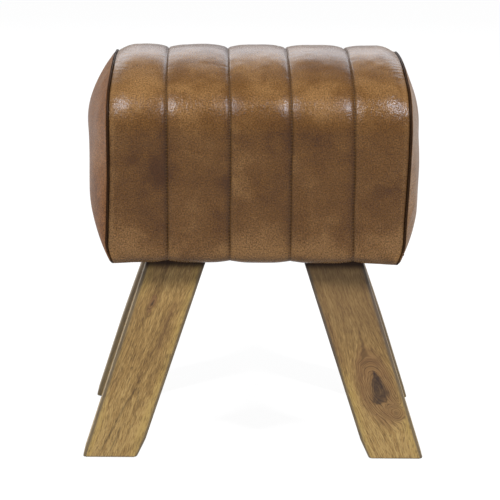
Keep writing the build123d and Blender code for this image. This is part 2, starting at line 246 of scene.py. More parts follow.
# Lines of the four seams and the two end seams. Each has its shift to the right in mm from the
# place in the frame, at the foot of the front, high on the front, on the crest and on the back.
seamLines = {
    "places": [-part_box("leather_channel_5")[1][0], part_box("leather_channel_2")[0][0],
               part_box("leather_channel_3")[0][0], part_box("leather_channel_4")[0][0],
               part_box("leather_channel_4")[1][0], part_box("leather_channel_5")[1][0]],
    "shifts": [
        (0.5, 5.0, 5.2, 0.0),
        (7.0, 7.6, 1.9, 0.0),
        (7.1, 7.1, 2.1, 0.0),
        (4.7, 4.7, 0.0, 0.0),
        (5.6, 3.8, 0.0, 0.0),
        (-1.5, 2.0, -2.4, 0.0),
    ],
    "lowRun": 0.045,         # half way to the high shift at that height over the foot of the front
    "highRun": 0.020,        # and all of it that far below the shoulder
    "crestShift": 0.030,     # the shift on the crest is reached that far behind its middle
    "blend": 12.0,           # spread and half length of the average that rounds the line, in samples
    "blendReach": 30,
    "samples": 600,
    "wobble": 0.0005,
    "wobbleRun": 0.050,
    "tuck": 0.0088,          # the end seams turn in at the lower corners
    "tuckFade": (-0.004, 0.016),
    "underTuck": 0.5,        # share of it along the underside
    "underFade": (-0.024, 0.007),
}


def seamX(number, place):
    # A seam's place to the right: its shifts joined by straight runs and averaged, a slow wobble,
    # and for the two end seams the tuck at the lower corners
    crest = (frontCrown + rearCrown) / 2 + seamLines["crestShift"]
    knots = [frontWall, frontWall + seamLines["lowRun"], frontShoulder - seamLines["highRun"], frontShoulder,
             crest, rearShoulder, rearFoot]
    low, high, top, back = seamLines["shifts"][number]
    shifts = [low, (low + high) / 2, high, high, top, back, back]
    fine = np.linspace(0, outline["length"], seamLines["samples"])
    bent = smoothed(np.interp(fine, knots, shifts), seamLines["blend"], seamLines["blendReach"])
    wobble = seamLines["wobble"] * softNoise(place / seamLines["wobbleRun"], place * 0, 40 + number)
    near = fromMiddle(place)
    below, above = seamLines["tuckFade"]
    tuck = seamLines["tuck"] * (1 - smoothStep(frontFoot + below, frontWall + above, near))
    below, above = seamLines["underFade"]
    under = seamLines["underTuck"]
    tuck = tuck * (under + (1 - under) * smoothStep(frontFoot + below, frontFoot + above, near))
    inwards = (number == 0) - (number == 5)
    return seamLines["places"][number] + np.interp(place, fine, bent) / 1000 + wobble + tuck * inwards


# Channels of the cover, front to back over the top
channel = {
    "crownDrop": 0.0039,     # from the crown of a channel down to its seams
    "crownPower": 3.3,
    "uneven": 0.15,          # share by which the crown varies along a seam
    "unevenRun": 0.09,
    "groove": 0.0013,        # narrow extra dip along the stitches
    "softSide": 0.0024,      # width of the dip left of a seam
    "crispSide": 0.0012,     # and right of it
    "seamGap": 0.00012,
    "draw": 0.0072,          # how far the cover is drawn in at the end seam
    "crestDraw": 0.0031,     # and how much further on the crest
    "drawRun": 0.034,
    "crestRun": -0.007,      # what the crest adds to that run
    "lipTop": 0.0050,        # inset of the top of the standing edge
    "crestLip": 0.0034,      # and how much lower it is on the crest
    "lipFade": 0.030,        # the standing edge dies away above the lower corners
    "lipSide": 0.00122,      # from the end seam to its outer face
    "lipRadius": 0.0010,     # of the turn up into it
    "lipFoot": 0.0006,       # the turn starts that far above the drawn hide
    "lipWave": 0.0005,
    "lipWaveRun": 0.020,
    "lipShade": (0.9, 0.8, 0.7),   # painted shade, a little less towards its top; the rest of it is all dark
    "lipShadeRun": 0.0009,       # how far the painted shade runs out from its foot
    "lipGlow": (0.10, 0.0045, 0.0028),   # a painted highlight, a lighter line beside it: strength, place and width
    "flankLight": (0.07, 0.004),   # painted light right of a seam and painted shade left of it: strength and run
    "flankDark": (0.11, 0.008),
    "footPinch": 0.25,       # share by which a seam hangs less than the panels beside it
    "pinchRun": 0.012,
    "underCrown": 0.25,      # share of the crown and of the relief that is left on the underside
    "underRelief": 0.15,
    "reliefRun": 0.012,      # the relief grows over that distance from a seam
    "lump": 0.0005,
    "lumpSize": (0.034, 0.055),
    "crumple": 0.00020,
    "crumpleSize": (0.011, 0.015),
    "pucker": 0.00030,
    "puckerPitch": 0.006,
    "puckerFade": 0.006,
    "crease": 0.00034,       # slanting pulls beside the end seams
    "creaseBand": 0.012,     # how far in they lie, and how wide their band is
    "creasePitch": 0.0042,
    "creaseSlant": 0.75,
    "columns": 58,
    "endColumns": 64,
    "rows": 500,
}


def coverRelief(x, place, toSeam, seed):
    # Height of the hide over its smooth form: wide lumps, small crumples, and puckers that
    # run out from the stitches and fade within a few millimetres
    wide, tall = channel["lumpSize"]
    lump = channel["lump"] * softNoise(x / wide, place / tall, seed)
    wide, tall = channel["crumpleSize"]
    crumple = channel["crumple"] * softNoise(x / wide + 3, place / tall, seed + 1)
    fade = np.exp(-toSeam / channel["puckerFade"]) * smoothStep(0, 0.002, toSeam)
    pucker = channel["pucker"] * fade * softNoise(place / channel["puckerPitch"], x * 6, seed + 2)
    return (lump + crumple) * smoothStep(0, channel["reliefRun"], toSeam) + pucker


def seamDrop(number, place):
    # Depth of a seam below the crowns beside it, varying slowly along the seam
    slow = softNoise(place / channel["unevenRun"], place * 0 + number * 3.3, 7)
    return channel["crownDrop"] * (1 + channel["uneven"] * slow)


def drawDepth(place):
    # How far the cover is drawn in at an end seam, more on the crest
    return channel["draw"] + channel["crestDraw"] * crestShare(place)


def drawnIn(place, toLip, crestRun=0.0):
    # The same beside the seam: it falls to nothing over its run, as the square of what is left of it
    run = channel["drawRun"] + crestRun * crestShare(place)
    return drawDepth(place) * np.clip(1 - toLip / run, 0, 1) ** 2


def lipProfile(place):
    # Cross-section of the standing edge from its foot to its top, one row for each place: a quarter
    # turn out of the hide and then a straight rise
    turn = np.linspace(0, math.pi / 2, 6)[1:]
    radius = channel["lipRadius"]
    across = channel["lipSide"] + np.concatenate([radius * (1 - np.sin(turn)), np.zeros(4)])
    depth = drawDepth(place) - radius * (1 - np.cos(turn))[None, :] - channel["lipFoot"]
    top = channel["lipTop"] + channel["crestLip"] * crestShare(place)
    tall = 0.05 + 0.95 * smoothStep(frontWall, frontWall + channel["lipFade"], fromMiddle(place))
    rise = depth[:, -1:] + (top - depth[:, -1:]) * tall * np.linspace(0, 1, 5)[None, 1:]
    return across, np.hstack([depth, rise])


# Stitches in the four valleys
stitch = {
    "pitch": 0.0040,
    "length": 0.0029,
    "width": 0.0009,
    "height": 0.0007,
    "sink": 0.0001,
}


def channelGrid(number):
    # Rows go along the outline and columns from the left seam to the right one. The hide lies inside
    # the outline by its crown, a power of the distance from the middle, by a dip along each seam
    # that is a bell curve, and by the draw at an end seam. The relief is added to that.
    place = np.linspace(frontFlap, rearFlap, channel["rows"])[:, None]
    y, z, outY, outZ = onOutline(place)
    left, right = seamX(number, place), seamX(number + 1, place)
    gap = channel["seamGap"] / 2
    leftEnd, rightEnd = number == 0, number == 4
    leftSewn, rightSewn = float(not leftEnd), float(not rightEnd)
    count = channel["endColumns"] if leftEnd or rightEnd else channel["columns"]
    across = np.linspace(0, math.pi, count)[None, :]
    share = (1 - np.cos(across)) / 2 * 0.6 + across / math.pi * 0.4
    lipAcross, lipDepth = lipProfile(place)
    footRun = lipAcross[0]
    upright = standing(place)
    innerLeft = left + (footRun if leftEnd else gap)
    innerRight = right - (footRun if rightEnd else gap)
    x = innerLeft + (innerRight - innerLeft) * share
    toLeft, toRight = x - left, right - x
    toSeam = toRight if leftEnd else toLeft if rightEnd else np.minimum(toLeft, toRight)
    swing = seamDrop(number, place) * (1 - share) + seamDrop(number + 1, place) * share
    crown = swing * np.clip(1 - toSeam / ((right - left) / 2), 0, 1) ** channel["crownPower"]
    softDip = np.exp(-(toRight / channel["softSide"]) ** 2) * rightSewn
    crispDip = np.exp(-(toLeft / channel["crispSide"]) ** 2) * leftSewn
    kept = channel["underCrown"] + (1 - channel["underCrown"]) * upright
    inset = (crown + channel["groove"] * (softDip + crispDip)) * kept
    height = coverRelief(x, place, toSeam, 100 + 10 * number)
    if leftEnd or rightEnd:
        toLip = toLeft if leftEnd else toRight
        inset = inset + drawnIn(place, toLip, channel["crestRun"]) * upright
        band = np.exp(-((toLip - channel["creaseBand"]) / channel["creaseBand"]) ** 2)
        band = band * (0.5 + 0.5 * softNoise(place / 0.03, toLip * 0 + 1.5, 61 + number))
        slant = (place + toLip * channel["creaseSlant"]) / channel["creasePitch"]
        height = height * smoothStep(0.0, 0.008, toLip - footRun)
        height = height + channel["crease"] * band * softNoise(slant, toLip / 0.02, 71 + number)
    inset = inset - height * (channel["underRelief"] + (1 - channel["underRelief"]) * upright)
    # Fields for the leather: the painted shade in the valley of each seam, and the painted light and shade on
    # the two flanks beside it
    softShade, crispShade = np.exp(-toRight / channel["softSide"]), np.exp(-toLeft / channel["crispSide"])
    tone = np.maximum(softShade * rightSewn, crispShade * leftSewn)
    (light, lightRun), (dark, darkRun) = channel["flankLight"], channel["flankDark"]
    # Painted light right of each seam and painted shade left of it
    flank = light * np.exp(-toLeft / lightRun) * leftSewn - dark * np.exp(-toRight / darkRun) * rightSewn
    raw, gapShade = np.zeros_like(x), np.zeros_like(x)
    if leftEnd or rightEnd:
        def join(panel, lip):
            # Adds the columns of the standing edge on the outer side of the panel
            return np.hstack([panel, lip]) if rightEnd else np.hstack([lip[:, ::-1], panel])

        side, edge = (-1, right) if rightEnd else (1, left)
        columns = len(lipAcross)
        folded = (1 - upright) * np.linspace(footRun, gap, columns)
        lipX = edge + side * (lipAcross[None, :] * upright + folded)
        wave = channel["lipWave"] * softNoise(place / channel["lipWaveRun"], place * 0, 81 + number)
        lipInset = lipDepth * upright + wave * upright * smoothStep(0.0, 1.0, np.linspace(0, 1, columns))
        plain = np.zeros((len(place), columns))
        # Painted shade on the standing edge, a little less towards its top
        raised, lipShaded = plain.copy(), plain + 1
        raised[:, -1] = 1
        lipShaded[:, -3:] = channel["lipShade"]
        past = np.maximum(toLip - footRun, 0)
        # Painted highlight: a lighter line on the hide beside the standing edge
        light, glowAt, glowWide = channel["lipGlow"]
        flank = flank + light * np.exp(-((past - glowAt) / glowWide) ** 2)
        x, inset, tone = join(x, lipX), join(inset, lipInset), join(tone, plain)
        raw, flank = join(raw, raised), join(flank, plain)
        # Painted shade on the hide at the foot of the standing edge
        gapShade = join(np.exp(-(past / channel["lipShadeRun"]) ** 2), lipShaded)
    toSewn = np.minimum(1.0 if leftEnd else x - left, 1.0 if rightEnd else right - x)
    hang = footSag(x, place) * (1 - channel["footPinch"] * np.exp(-(toSewn / channel["pinchRun"]) ** 2))
    points = np.stack([x, y - outY * inset, z - outZ * inset - hang], axis=2)
    return points, place, {"valley": tone, "rawEdge": raw, "flank": flank, "gapShade": gapShade}


def cutEdge(points, inner, column, neighbour):
    # Three lines of the half-round edge of the hide, from its outer side to its inner one
    outward = unit(points[:, column] - points[:, neighbour]) * seat["hide"] * 0.35
    middle = (points[:, column] + inner[:, column]) / 2
    arm = (points[:, column] - inner[:, column]) / 2
    turns = np.radians([50, 90, 130])
    return [(middle + arm * math.cos(t) + outward * math.sin(t))[:, None] for t in turns]


def capQuads(rows, columns, rim=0):
    # Quads that close the first and the last row of a tube with two sides and a rim between them
    near = np.arange(columns - 1)
    far = 2 * columns + rim - 1 - near
    first = np.stack([far, far - 1, near + 1, near], axis=1)
    last = first[:, ::-1] + (rows - 1) * 2 * (columns + rim)
    return np.stack([first, last], axis=1).reshape(-1, 4).tolist()


def closedHide(name, points, uv, fields):
    # Shell of hide: the outer grid, the same grid one thickness below it, and half-round cut edges
    normal = unit(np.cross(np.gradient(points, axis=1), np.gradient(points, axis=0)))
    inner = points - normal * seat["hide"]
    rightRim, leftRim = cutEdge(points, inner, -1, -2), cutEdge(points, inner, 0, 1)
    shell = np.concatenate([points] + rightRim + [inner[:, ::-1]] + leftRim[::-1], axis=1)
    rows, columns = points.shape[:2]
    rim, total = len(rightRim), shell.shape[1]
    faces = gridFaces(rows, total, wrapColumns=True) + capQuads(rows, columns, rim)
    rightCap = [columns - 1 + i for i in range(rim + 2)]
    leftCap = [2 * columns + rim - 1 + i for i in range(rim + 1)] + [0]
    for cap in (rightCap, leftCap):
        faces.append(cap[::-1])
        faces.append([(rows - 1) * total + c for c in cap])

    def spread(field):
        right, left = [field[:, -1:]] * rim, [field[:, :1]] * rim
        return np.concatenate([field] + right + [field[:, ::-1]] + left, axis=1)

    uvField = np.stack([spread(uv[..., 0]), spread(uv[..., 1])], axis=2)
    values = {key: spread(field).ravel() for key, field in fields.items()}
    return makePiece(name, shell, faces, uv=uvField, values=values)


def buildChannels():
    pieces = []
    for number in range(5):
        points, place, fields = channelGrid(number)
        steps = np.linalg.norm(np.diff(points, axis=1), axis=2)
        girth = np.pad(np.cumsum(steps, axis=1), ((0, 0), (1, 0)))
        along = place + np.zeros_like(girth) + number * 283 * stitch["pitch"]
        uv = np.stack([girth + number * 0.37, along], axis=2)
        piece = closedHide(f"leatherChannel{number + 1}", points, uv, fields)
        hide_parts(f"leather_channel_{number + 1}")
        pieces.append(piece)
    return pieces


channelPieces = buildChannels()
print("channels made")

# Swelling ends
ends = {
    "centreHeight": 0.415,   # middle of the end panel
    "bulge": {-1: 0.0325, 1: 0.0239},   # swell of the left and the right end
    "rimLift": 0.25,         # share by which its rim hangs less than the channel beside it
    "lowPower": 5.6,         # how square the swell is low down and high up
    "highPower": 2.25,
    "powerFrom": (0.33, 0.43),
    "lowerLoss": {-1: 0.22, 1: 0.10},   # the swell is less along the lower edge
    "lossFrom": (0.34, 0.46),
    "rounding": 0.045,       # length along the outline over which its corners round off
    "roundPower": 3.5,
    "lipWave": 0.0006,
    "lipWaveRun": 0.018,
    "lump": 0.0011,
    "fold": 0.0011,          # pulls that run in from the seam
    "foldPitch": 0.008,
    "foldReach": 0.13,       # share of the way to the middle
    "rows": 520,
    "rings": 46,
    "flap": 0.020,
    "flapHalf": 0.1185,
    "flapEase": 0.012,
}
endSeam = {-1: 0, 1: 5}


def swellShare(side, scale, z):
    # Share of the swell where the outline has shrunk to a scale: one less a power of the scale
    power = ends["lowPower"] + (ends["highPower"] - ends["lowPower"]) * smoothStep(*ends["powerFrom"], z)
    full = 1 - ends["lowerLoss"][side] * (1 - smoothStep(*ends["lossFrom"], z))
    return full * (1 - scale ** power)


def shrunk(baseY, baseZ, scale):
    # The outline shrunk towards the middle of the panel. Its corners turn round as it shrinks: the
    # further in, the more of it is the outline averaged along its length.
    rows = len(baseY)
    reach = np.minimum(np.arange(rows), rows - np.arange(rows)) / rows * outline["length"]
    kernel = np.exp(-0.5 * (reach / ends["rounding"]) ** 2)
    wave = np.fft.rfft(kernel / kernel.sum())[:, None]
    roundY, roundZ = (np.fft.irfft(np.fft.rfft(base, axis=0) * wave, rows, axis=0) for base in (baseY, baseZ))
    share = scale ** ends["roundPower"]
    shapeY = baseY * share + roundY * (1 - share)
    shapeZ = baseZ * share + roundZ * (1 - share)
    return shapeY * scale, ends["centreHeight"] + (shapeZ - ends["centreHeight"]) * scale


def endGrid(side):
    # Rows go round the closed outline; columns go from the lip out over the swell to the middle.
    # The outline shrinks towards its centre while the height rises along a power curve.
    place = (np.arange(ends["rows"]) * outline["length"] / ends["rows"])[:, None]
    y, z, outY, outZ = onOutline(place)
    upright = standing(place)
    edge = seamX(endSeam[side], place)
    lipAcross, lipDepth = lipProfile(place)
    lipAcross, lipDepth = lipAcross[::-1], lipDepth[:, ::-1]
    count = len(lipAcross)
    wave = ends["lipWave"] * softNoise(place / ends["lipWaveRun"], place * 0, 90 + side)
    lipInset = (lipDepth + wave * np.linspace(1, 0, count)[None, :]) * upright
    under = 1 - smoothStep(ends["flapHalf"], ends["flapHalf"] + ends["flapEase"], np.abs(y))
    under = under * (z < ends["centreHeight"])
    flapRun = np.linspace(-ends["flap"], 0.001, count)[None, :]
    lipX = lipAcross[None, :] * (1 - under) + flapRun * under
    footInset = lipInset[:, -1:]
    ring = np.linspace(0, 1, ends["rings"] + 1)[1:][None, :]
    scale = 1 - ring ** 1.25
    swellY, swellZ = shrunk(y - outY * footInset, z - outZ * footInset, scale)
    swell = lipX[:, -1:] * scale ** 3 + ends["bulge"][side] * swellShare(side, scale, swellZ)
    seed = 200 if side > 0 else 230
    fade = smoothStep(0.0, 0.15, 1 - scale) * smoothStep(0.0, 0.25, scale)
    lumps = ends["lump"] * softNoise(swellY / 0.04 + 9, swellZ / 0.05, seed) * fade
    folds = ends["fold"] * softNoise(place / ends["foldPitch"], scale * 4 + place * 0, seed + 1)
    folds = folds * (0.4 + 0.6 * softNoise(place / 0.06, scale * 2, seed + 2))
    folds = folds * np.exp(-((1 - scale) / ends["foldReach"]) ** 2) * smoothStep(0.0, 0.03, 1 - scale)
    hang = footSag(edge, place) * (1 - ends["rimLift"])
    rimPlace = seamLines["places"][endSeam[side]]
    fromPole = np.hstack([np.ones((1, count)), scale ** 2])
    x = rimPlace + (edge - rimPlace) * fromPole + side * np.hstack([lipX, swell + lumps + folds])
    allY = np.hstack([y - outY * lipInset, swellY])
    allZ = np.hstack([z - outZ * lipInset - hang, swellZ - hang * scale ** 6])
    raw, gapShade = np.zeros(x.shape), np.zeros(x.shape)
    raw[:, :1] = upright
    # Painted shade on the end panel's standing edge
    gapShade[:, :count] = np.linspace(0.9, 0, count) * upright
    return np.stack([x, allY, allZ], axis=2), raw, gapShade


def endShell(side):
    # The same shell of hide, closed round its rim and drawn together in a fan at the middle
    points, raw, gapShade = endGrid(side)
    pole = points[:, -1].mean(axis=0)
    points, raw, gapShade = points[:, :-1], raw[:, :-1], gapShade[:, :-1]
    rows = len(points)
    along = (np.roll(points, -1, axis=0) - np.roll(points, 1, axis=0)) / 2
    normal = unit(np.cross(np.gradient(points, axis=1), along) * side)
    inner = points - normal * seat["hide"]
    rim = cutEdge(points, inner, 0, 1)[::-1]
    shell = np.concatenate([inner[:, ::-1]] + rim + [points], axis=1)
    total = shell.shape[1]
    row = np.arange(rows) * total
    nextRow = np.roll(row, -1)
    innerPole, outerPole = np.full(rows, rows * total), np.full(rows, rows * total + 1)
    fans = [np.stack([row, nextRow, innerPole], axis=1),
            np.stack([nextRow + total - 1, row + total - 1, outerPole], axis=1)]
    faces = gridFaces(rows, total, wrapRows=True) + np.stack(fans, axis=1).reshape(-1, 3).tolist()
    if side < 0:
        faces = [f[::-1] for f in faces]
    poles = np.array([pole - np.array([side * seat["hide"], 0, 0]), pole])
    shellPoints = np.concatenate([shell.reshape(-1, 3), poles])
    uv = shellPoints[:, [1, 2]] + np.array([3.1 if side > 0 else 4.7, 0.6])
    values = {key: np.zeros(len(shellPoints)) for key in ("valley", "flank")}
    for key, field in (("rawEdge", raw), ("gapShade", gapShade)):
        whole = np.concatenate([field[:, ::-1]] + [field[:, :1]] * len(rim) + [field], axis=1)
        values[key] = np.concatenate([whole.ravel(), [0, 0]])
    name = "leatherEndRight" if side > 0 else "leatherEndLeft"
    piece = makePiece(name, shellPoints, faces, uv=uv, values=values)
    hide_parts("leather_end_right" if side > 0 else "leather_end_left")
    return piece


endPieces = [endShell(-1), endShell(1)]
print("ends made")

# Padding under the cover: wadding under each channel, foam on the board and foam in the ends
padding = {
    "inset": 0.0079,         # inner side of the wadding below the outline
    "under": 0.0023,         # outer side of the wadding below the top of the hide
    "thinnest": 0.0006,
    "endInset": 0.010,       # the wadding stops short of an end seam
    "clearance": 0.0003,
    "quilting": 0.0008,      # the wadding is sewn down that much under the hide
    "foamGap": 0.0004,       # between wadding and foam, and between hide and foam
    "hideGap": 0.0012,
    "edgeHeight": 0.0005,    # of the foam block at the front and the back
    "domeInset": 0.0022,     # the end foam lies inside the end panel: round its rim, at its foot, on top
    "domeFoot": 0.0032,
    "domeTop": 0.0045,
    "domeRings": [0.02, 0.5, 0.97, 1.0, 1.0, 0.985, 0.95, 0.88, 0.78, 0.65, 0.5, 0.34, 0.18, 0.02],
    "flatRings": 4,          # the first of them lie against the end board
    "board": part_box("top_board")[1][2],
    "boxHalf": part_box("top_board")[1][0],
}


def closedPad(name, outer, inner):
    # Closed block between two grids of the same size, joined round their borders
    rows, columns = outer.shape[:2]
    shell = np.concatenate([outer, inner[:, ::-1]], axis=1)
    return makePiece(name, shell, gridFaces(rows, 2 * columns, wrapColumns=True) + capQuads(rows, columns))


def buildWadding():
    # A thin quilt under each channel: its outer side follows the crown and the draw of the hide
    pieces = []
    for number in range(5):
        place = np.linspace(frontWall, outline["length"] - frontWall, 150)[:, None]
        y, z, outY, outZ = onOutline(place)
        leftInset, rightInset = (padding["endInset"] * (number == last) for last in (0, 4))
        left = seamX(number, place) + padding["clearance"] + leftInset
        right = seamX(number + 1, place) - padding["clearance"] - rightInset
        x = left + (right - left) * np.linspace(0, 1, 14)[None, :]
        toSeam = np.minimum(x - left, right - x)
        out = np.clip(1 - toSeam / ((right - left) / 2), 0, 1)
        crown = channel["crownDrop"] * 1.25 * out ** channel["crownPower"]
        drawn = np.zeros_like(x)
        if number in (0, 4):
            drawn = drawnIn(place, (x - left if number == 0 else right - x) + padding["endInset"])
        inner = padding["inset"] + 0 * x
        outer = crown + drawn + padding["under"] + padding["quilting"]
        outer = np.minimum(outer, inner - padding["thinnest"])
        grids = [np.stack([x, y - outY * inset, z - outZ * inset], axis=2) for inset in (outer, inner)]
        piece = closedPad(f"waddingChannel{number + 1}", *grids)
        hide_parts(f"wadding_{number + 1}")
        pieces.append(piece)
    return pieces


def buildTopFoam():
    # Arched block: the outline's top, a little inside the wadding, over the flat of the board
    place = np.linspace(frontShoulder, rearShoulder, 90)[:, None]
    y, z, outY, outZ = onOutline(place)
    x = np.linspace(-padding["boxHalf"], padding["boxHalf"], 90)[None, :]
    toLip = np.minimum(x - seamX(0, place), seamX(5, place) - x)
    underHide = drawnIn(place, toLip) + seat["hide"] + padding["hideGap"]
    inset = np.maximum(padding["inset"] + padding["foamGap"], underHide)
    topY, topZ = y - outY * inset, np.maximum(z - outZ * inset, padding["board"])
    outer = np.stack([x + 0 * topY, topY, topZ], axis=2)
    inner = np.stack([x + 0 * topY, topY, padding["board"] + 0 * topY], axis=2)
    outer[[0, -1], :, 2] += padding["edgeHeight"]
    piece = closedPad("foamBlock", outer, inner)
    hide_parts("foam_top")
    return piece


def buildEndFoam(side):
    # The end panel's dome, one layer lower, closed by a flat face against the end board
    place = (np.arange(160) * outline["length"] / 160)[:, None]
    y, z, outY, outZ = onOutline(place)
    inset = (drawDepth(place) + padding["under"]) * standing(place) + padding["domeInset"]
    scale = np.array(padding["domeRings"])[None, :]
    rimPlace = abs(seamLines["places"][endSeam[side]])
    rimX = rimPlace + (np.abs(seamX(endSeam[side], place)) - rimPlace) * scale ** 2
    allY, allZ = shrunk(y - outY * inset, z - outZ * inset, scale)
    lift = (ends["bulge"][side] - padding["domeTop"]) * swellShare(side, scale, allZ)
    outside = np.arange(scale.shape[1])[None, :] >= padding["flatRings"]
    x = np.where(outside, rimX - padding["domeFoot"] + lift, padding["boxHalf"] + padding["clearance"])
    points = np.stack([side * x, allY + 0 * x, allZ + 0 * x], axis=2)
    rows, columns = points.shape[:2]
    faces = gridFaces(rows, columns, wrapRows=True)
    faces.append([r * columns for r in range(rows)])
    faces.append([r * columns + columns - 1 for r in range(rows)][::-1])
    if side < 0:
        faces = [f[::-1] for f in faces]
    piece = makePiece("foamEndRight" if side > 0 else "foamEndLeft", points, faces)
    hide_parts("end_pad_right" if side > 0 else "end_pad_left")
    return piece


waddingPieces = buildWadding()
foamPieces = [buildTopFoam(), buildEndFoam(-1), buildEndFoam(1)]
print("padding made")

# Dust cover under the seat: black cloth stapled round its border, cut round the legs
cover = {
    "halfLong": 0.176,
    "halfWide": 0.132,
    "slotX": (0.0575, 0.1347),
    "slotY": (0.0806, 0.1248),
    "high": 0.27958,
    "thickness": 0.0007,
    "sag": 0.0030,
    "ripple": 0.0004,
    "step": 0.0055,
}


def buildDustCover():
    # A grid with lines on the edges of the four slots, hanging in a shallow cosine bowl with ripples
    def lines(half, slot):
        stops = [-half, -slot[1], -slot[0], slot[0], slot[1], half]
        counts = [max(2, int((b - a) / cover["step"])) for a, b in zip(stops, stops[1:])]
        runs = [np.linspace(a, b, n + 1)[:-1] for a, b, n in zip(stops, stops[1:], counts)]
        return np.concatenate(runs + [[half]])

    xs, ys = lines(cover["halfLong"], cover["slotX"]), lines(cover["halfWide"], cover["slotY"])
    x, y = np.meshgrid(xs, ys)
    bowl = np.cos(x / cover["halfLong"] * math.pi / 2) * np.cos(y / cover["halfWide"] * math.pi / 2)
    ripple = softNoise(x / 0.03, y / 0.045, 301) * np.sqrt(np.maximum(bowl, 0))
    z = cover["high"] - cover["sag"] * np.maximum(bowl, 0) - cover["ripple"] * ripple - footSag(x, np.abs(y))
    middleX, middleY = np.abs((xs[1:] + xs[:-1]) / 2), np.abs((ys[1:] + ys[:-1]) / 2)
    inX = (middleX > cover["slotX"][0]) & (middleX < cover["slotX"][1])
    inY = (middleY > cover["slotY"][0]) & (middleY < cover["slotY"][1])
    kept = ~(inY[:, None] & inX[None, :]).ravel()
    faces = [f[::-1] for f, keep in zip(gridFaces(len(ys), len(xs)), kept) if keep]
    piece = makePiece("dustCover", np.stack([x, y, z], axis=2), faces)
    wall = piece.modifiers.new("clothThickness", "SOLIDIFY")
    wall.thickness = cover["thickness"]
    wall.offset = -1
    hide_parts("dust_cover")
    return piece


dustCover = buildDustCover()


def buildStitches():
    # Each stitch is a small capsule of six rings, thin at both ends, bowed down into its holes
    ringAt = np.array([-1.0, -0.82, -0.4, 0.4, 0.82, 1.0])
    fat = np.array([0.25, 0.75, 1.0, 1.0, 0.75, 0.25])
    spoke = np.arange(6) * math.pi / 3
    along = np.repeat(ringAt, 6) * stitch["length"] / 2
    across = np.outer(fat, np.cos(spoke)).ravel() * stitch["width"] / 2
    up = np.outer(fat, np.sin(spoke)).ravel() * stitch["height"] / 2
    up = up - np.repeat(ringAt ** 2, 6) * stitch["height"] * 0.55
    ring, spokes = np.meshgrid(np.arange(5) * 6, np.arange(6), indexing="ij")
    nextSpoke = (spokes + 1) % 6
    one = np.stack([ring + spokes, ring + nextSpoke, ring + 6 + nextSpoke, ring + 6 + spokes], axis=2)
    one = one.reshape(-1, 4).tolist() + [[5, 4, 3, 2, 1, 0], [30, 31, 32, 33, 34, 35]]
    count = int((rearWall - frontWall) / stitch["pitch"])
    places = frontWall + (np.arange(count) + 0.5) * stitch["pitch"]
    allPoints, faces = [], []
    for number in range(1, 5):
        y, z, outY, outZ = onOutline(places)
        depth = seamDrop(number, places) + channel["groove"] + stitch["sink"]
        x = seamX(number, places)
        centre = np.stack([x, y - outY * depth, z - outZ * depth], axis=1)
        outward = np.stack([np.zeros(count), outY, outZ], axis=1)
        tangent = np.stack([np.zeros(count), outZ, -outY], axis=1)
        sideways = np.tile([1.0, 0, 0], (count, 1))
        points = (centre[:, None] + tangent[:, None] * along[None, :, None]
                  + sideways[:, None] * across[None, :, None] + outward[:, None] * up[None, :, None])
        allPoints.append(points.reshape(-1, 3))
        start = (number - 1) * count
        faces += [[(start + n) * 36 + v for v in face[::-1]] for n in range(count) for face in one]
    piece = makePiece("seamStitches", np.concatenate(allPoints), faces)
    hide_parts("seam_threads")
    return piece


stitches = buildStitches()
print("stitches made")

# Legs: sheared planks with softened arrises
leg = {
    "footSpread": 0.446,
    "headGap": 0.039,
    "width": 0.071,
    "foot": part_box("leg_front_right")[0][2],
    "head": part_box("leg_front_right")[1][2],
    "front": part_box("leg_front_right")[0][1],
    "back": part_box("leg_front_right")[1][1],
    "arris": 0.0028,
    "arrisFade": 0.0012,
    "footEase": 0.0018,
    "trim": 0.0035,          # taken off the outer edge of the foot
    "trimHeight": 0.025,
    "trimRun": 0.012,
    "rearSlim": 0.0034,      # the rear legs are that much narrower at the top
    "slimFrom": (0.09, 0.26),
    "wear": 0.00025,         # taken off the arrises, and how much that varies
    "wearVaries": 0.0002,
    "planed": 0.00012,
    "ringShift": 0.0012,
    "paintedShadowFrom": (0.258, 0.269),   # painted shadow: the wood is coloured dark just under the seat
    "rows": 210,
    "faceColumns": 44,
    "sideColumns": 24,
}
# Slope of a leg, from the reach of its outer foot over its inner head, and its level width
reach, rise = (leg["footSpread"] - leg["headGap"]) / 2, leg["head"] - leg["foot"]
diagonal = math.sqrt(reach ** 2 + rise ** 2 - leg["width"] ** 2)
leg["slope"] = (reach * rise - leg["width"] * diagonal) / (rise ** 2 - leg["width"] ** 2)
leg["run"] = leg["width"] * math.sqrt(1 + leg["slope"] ** 2)

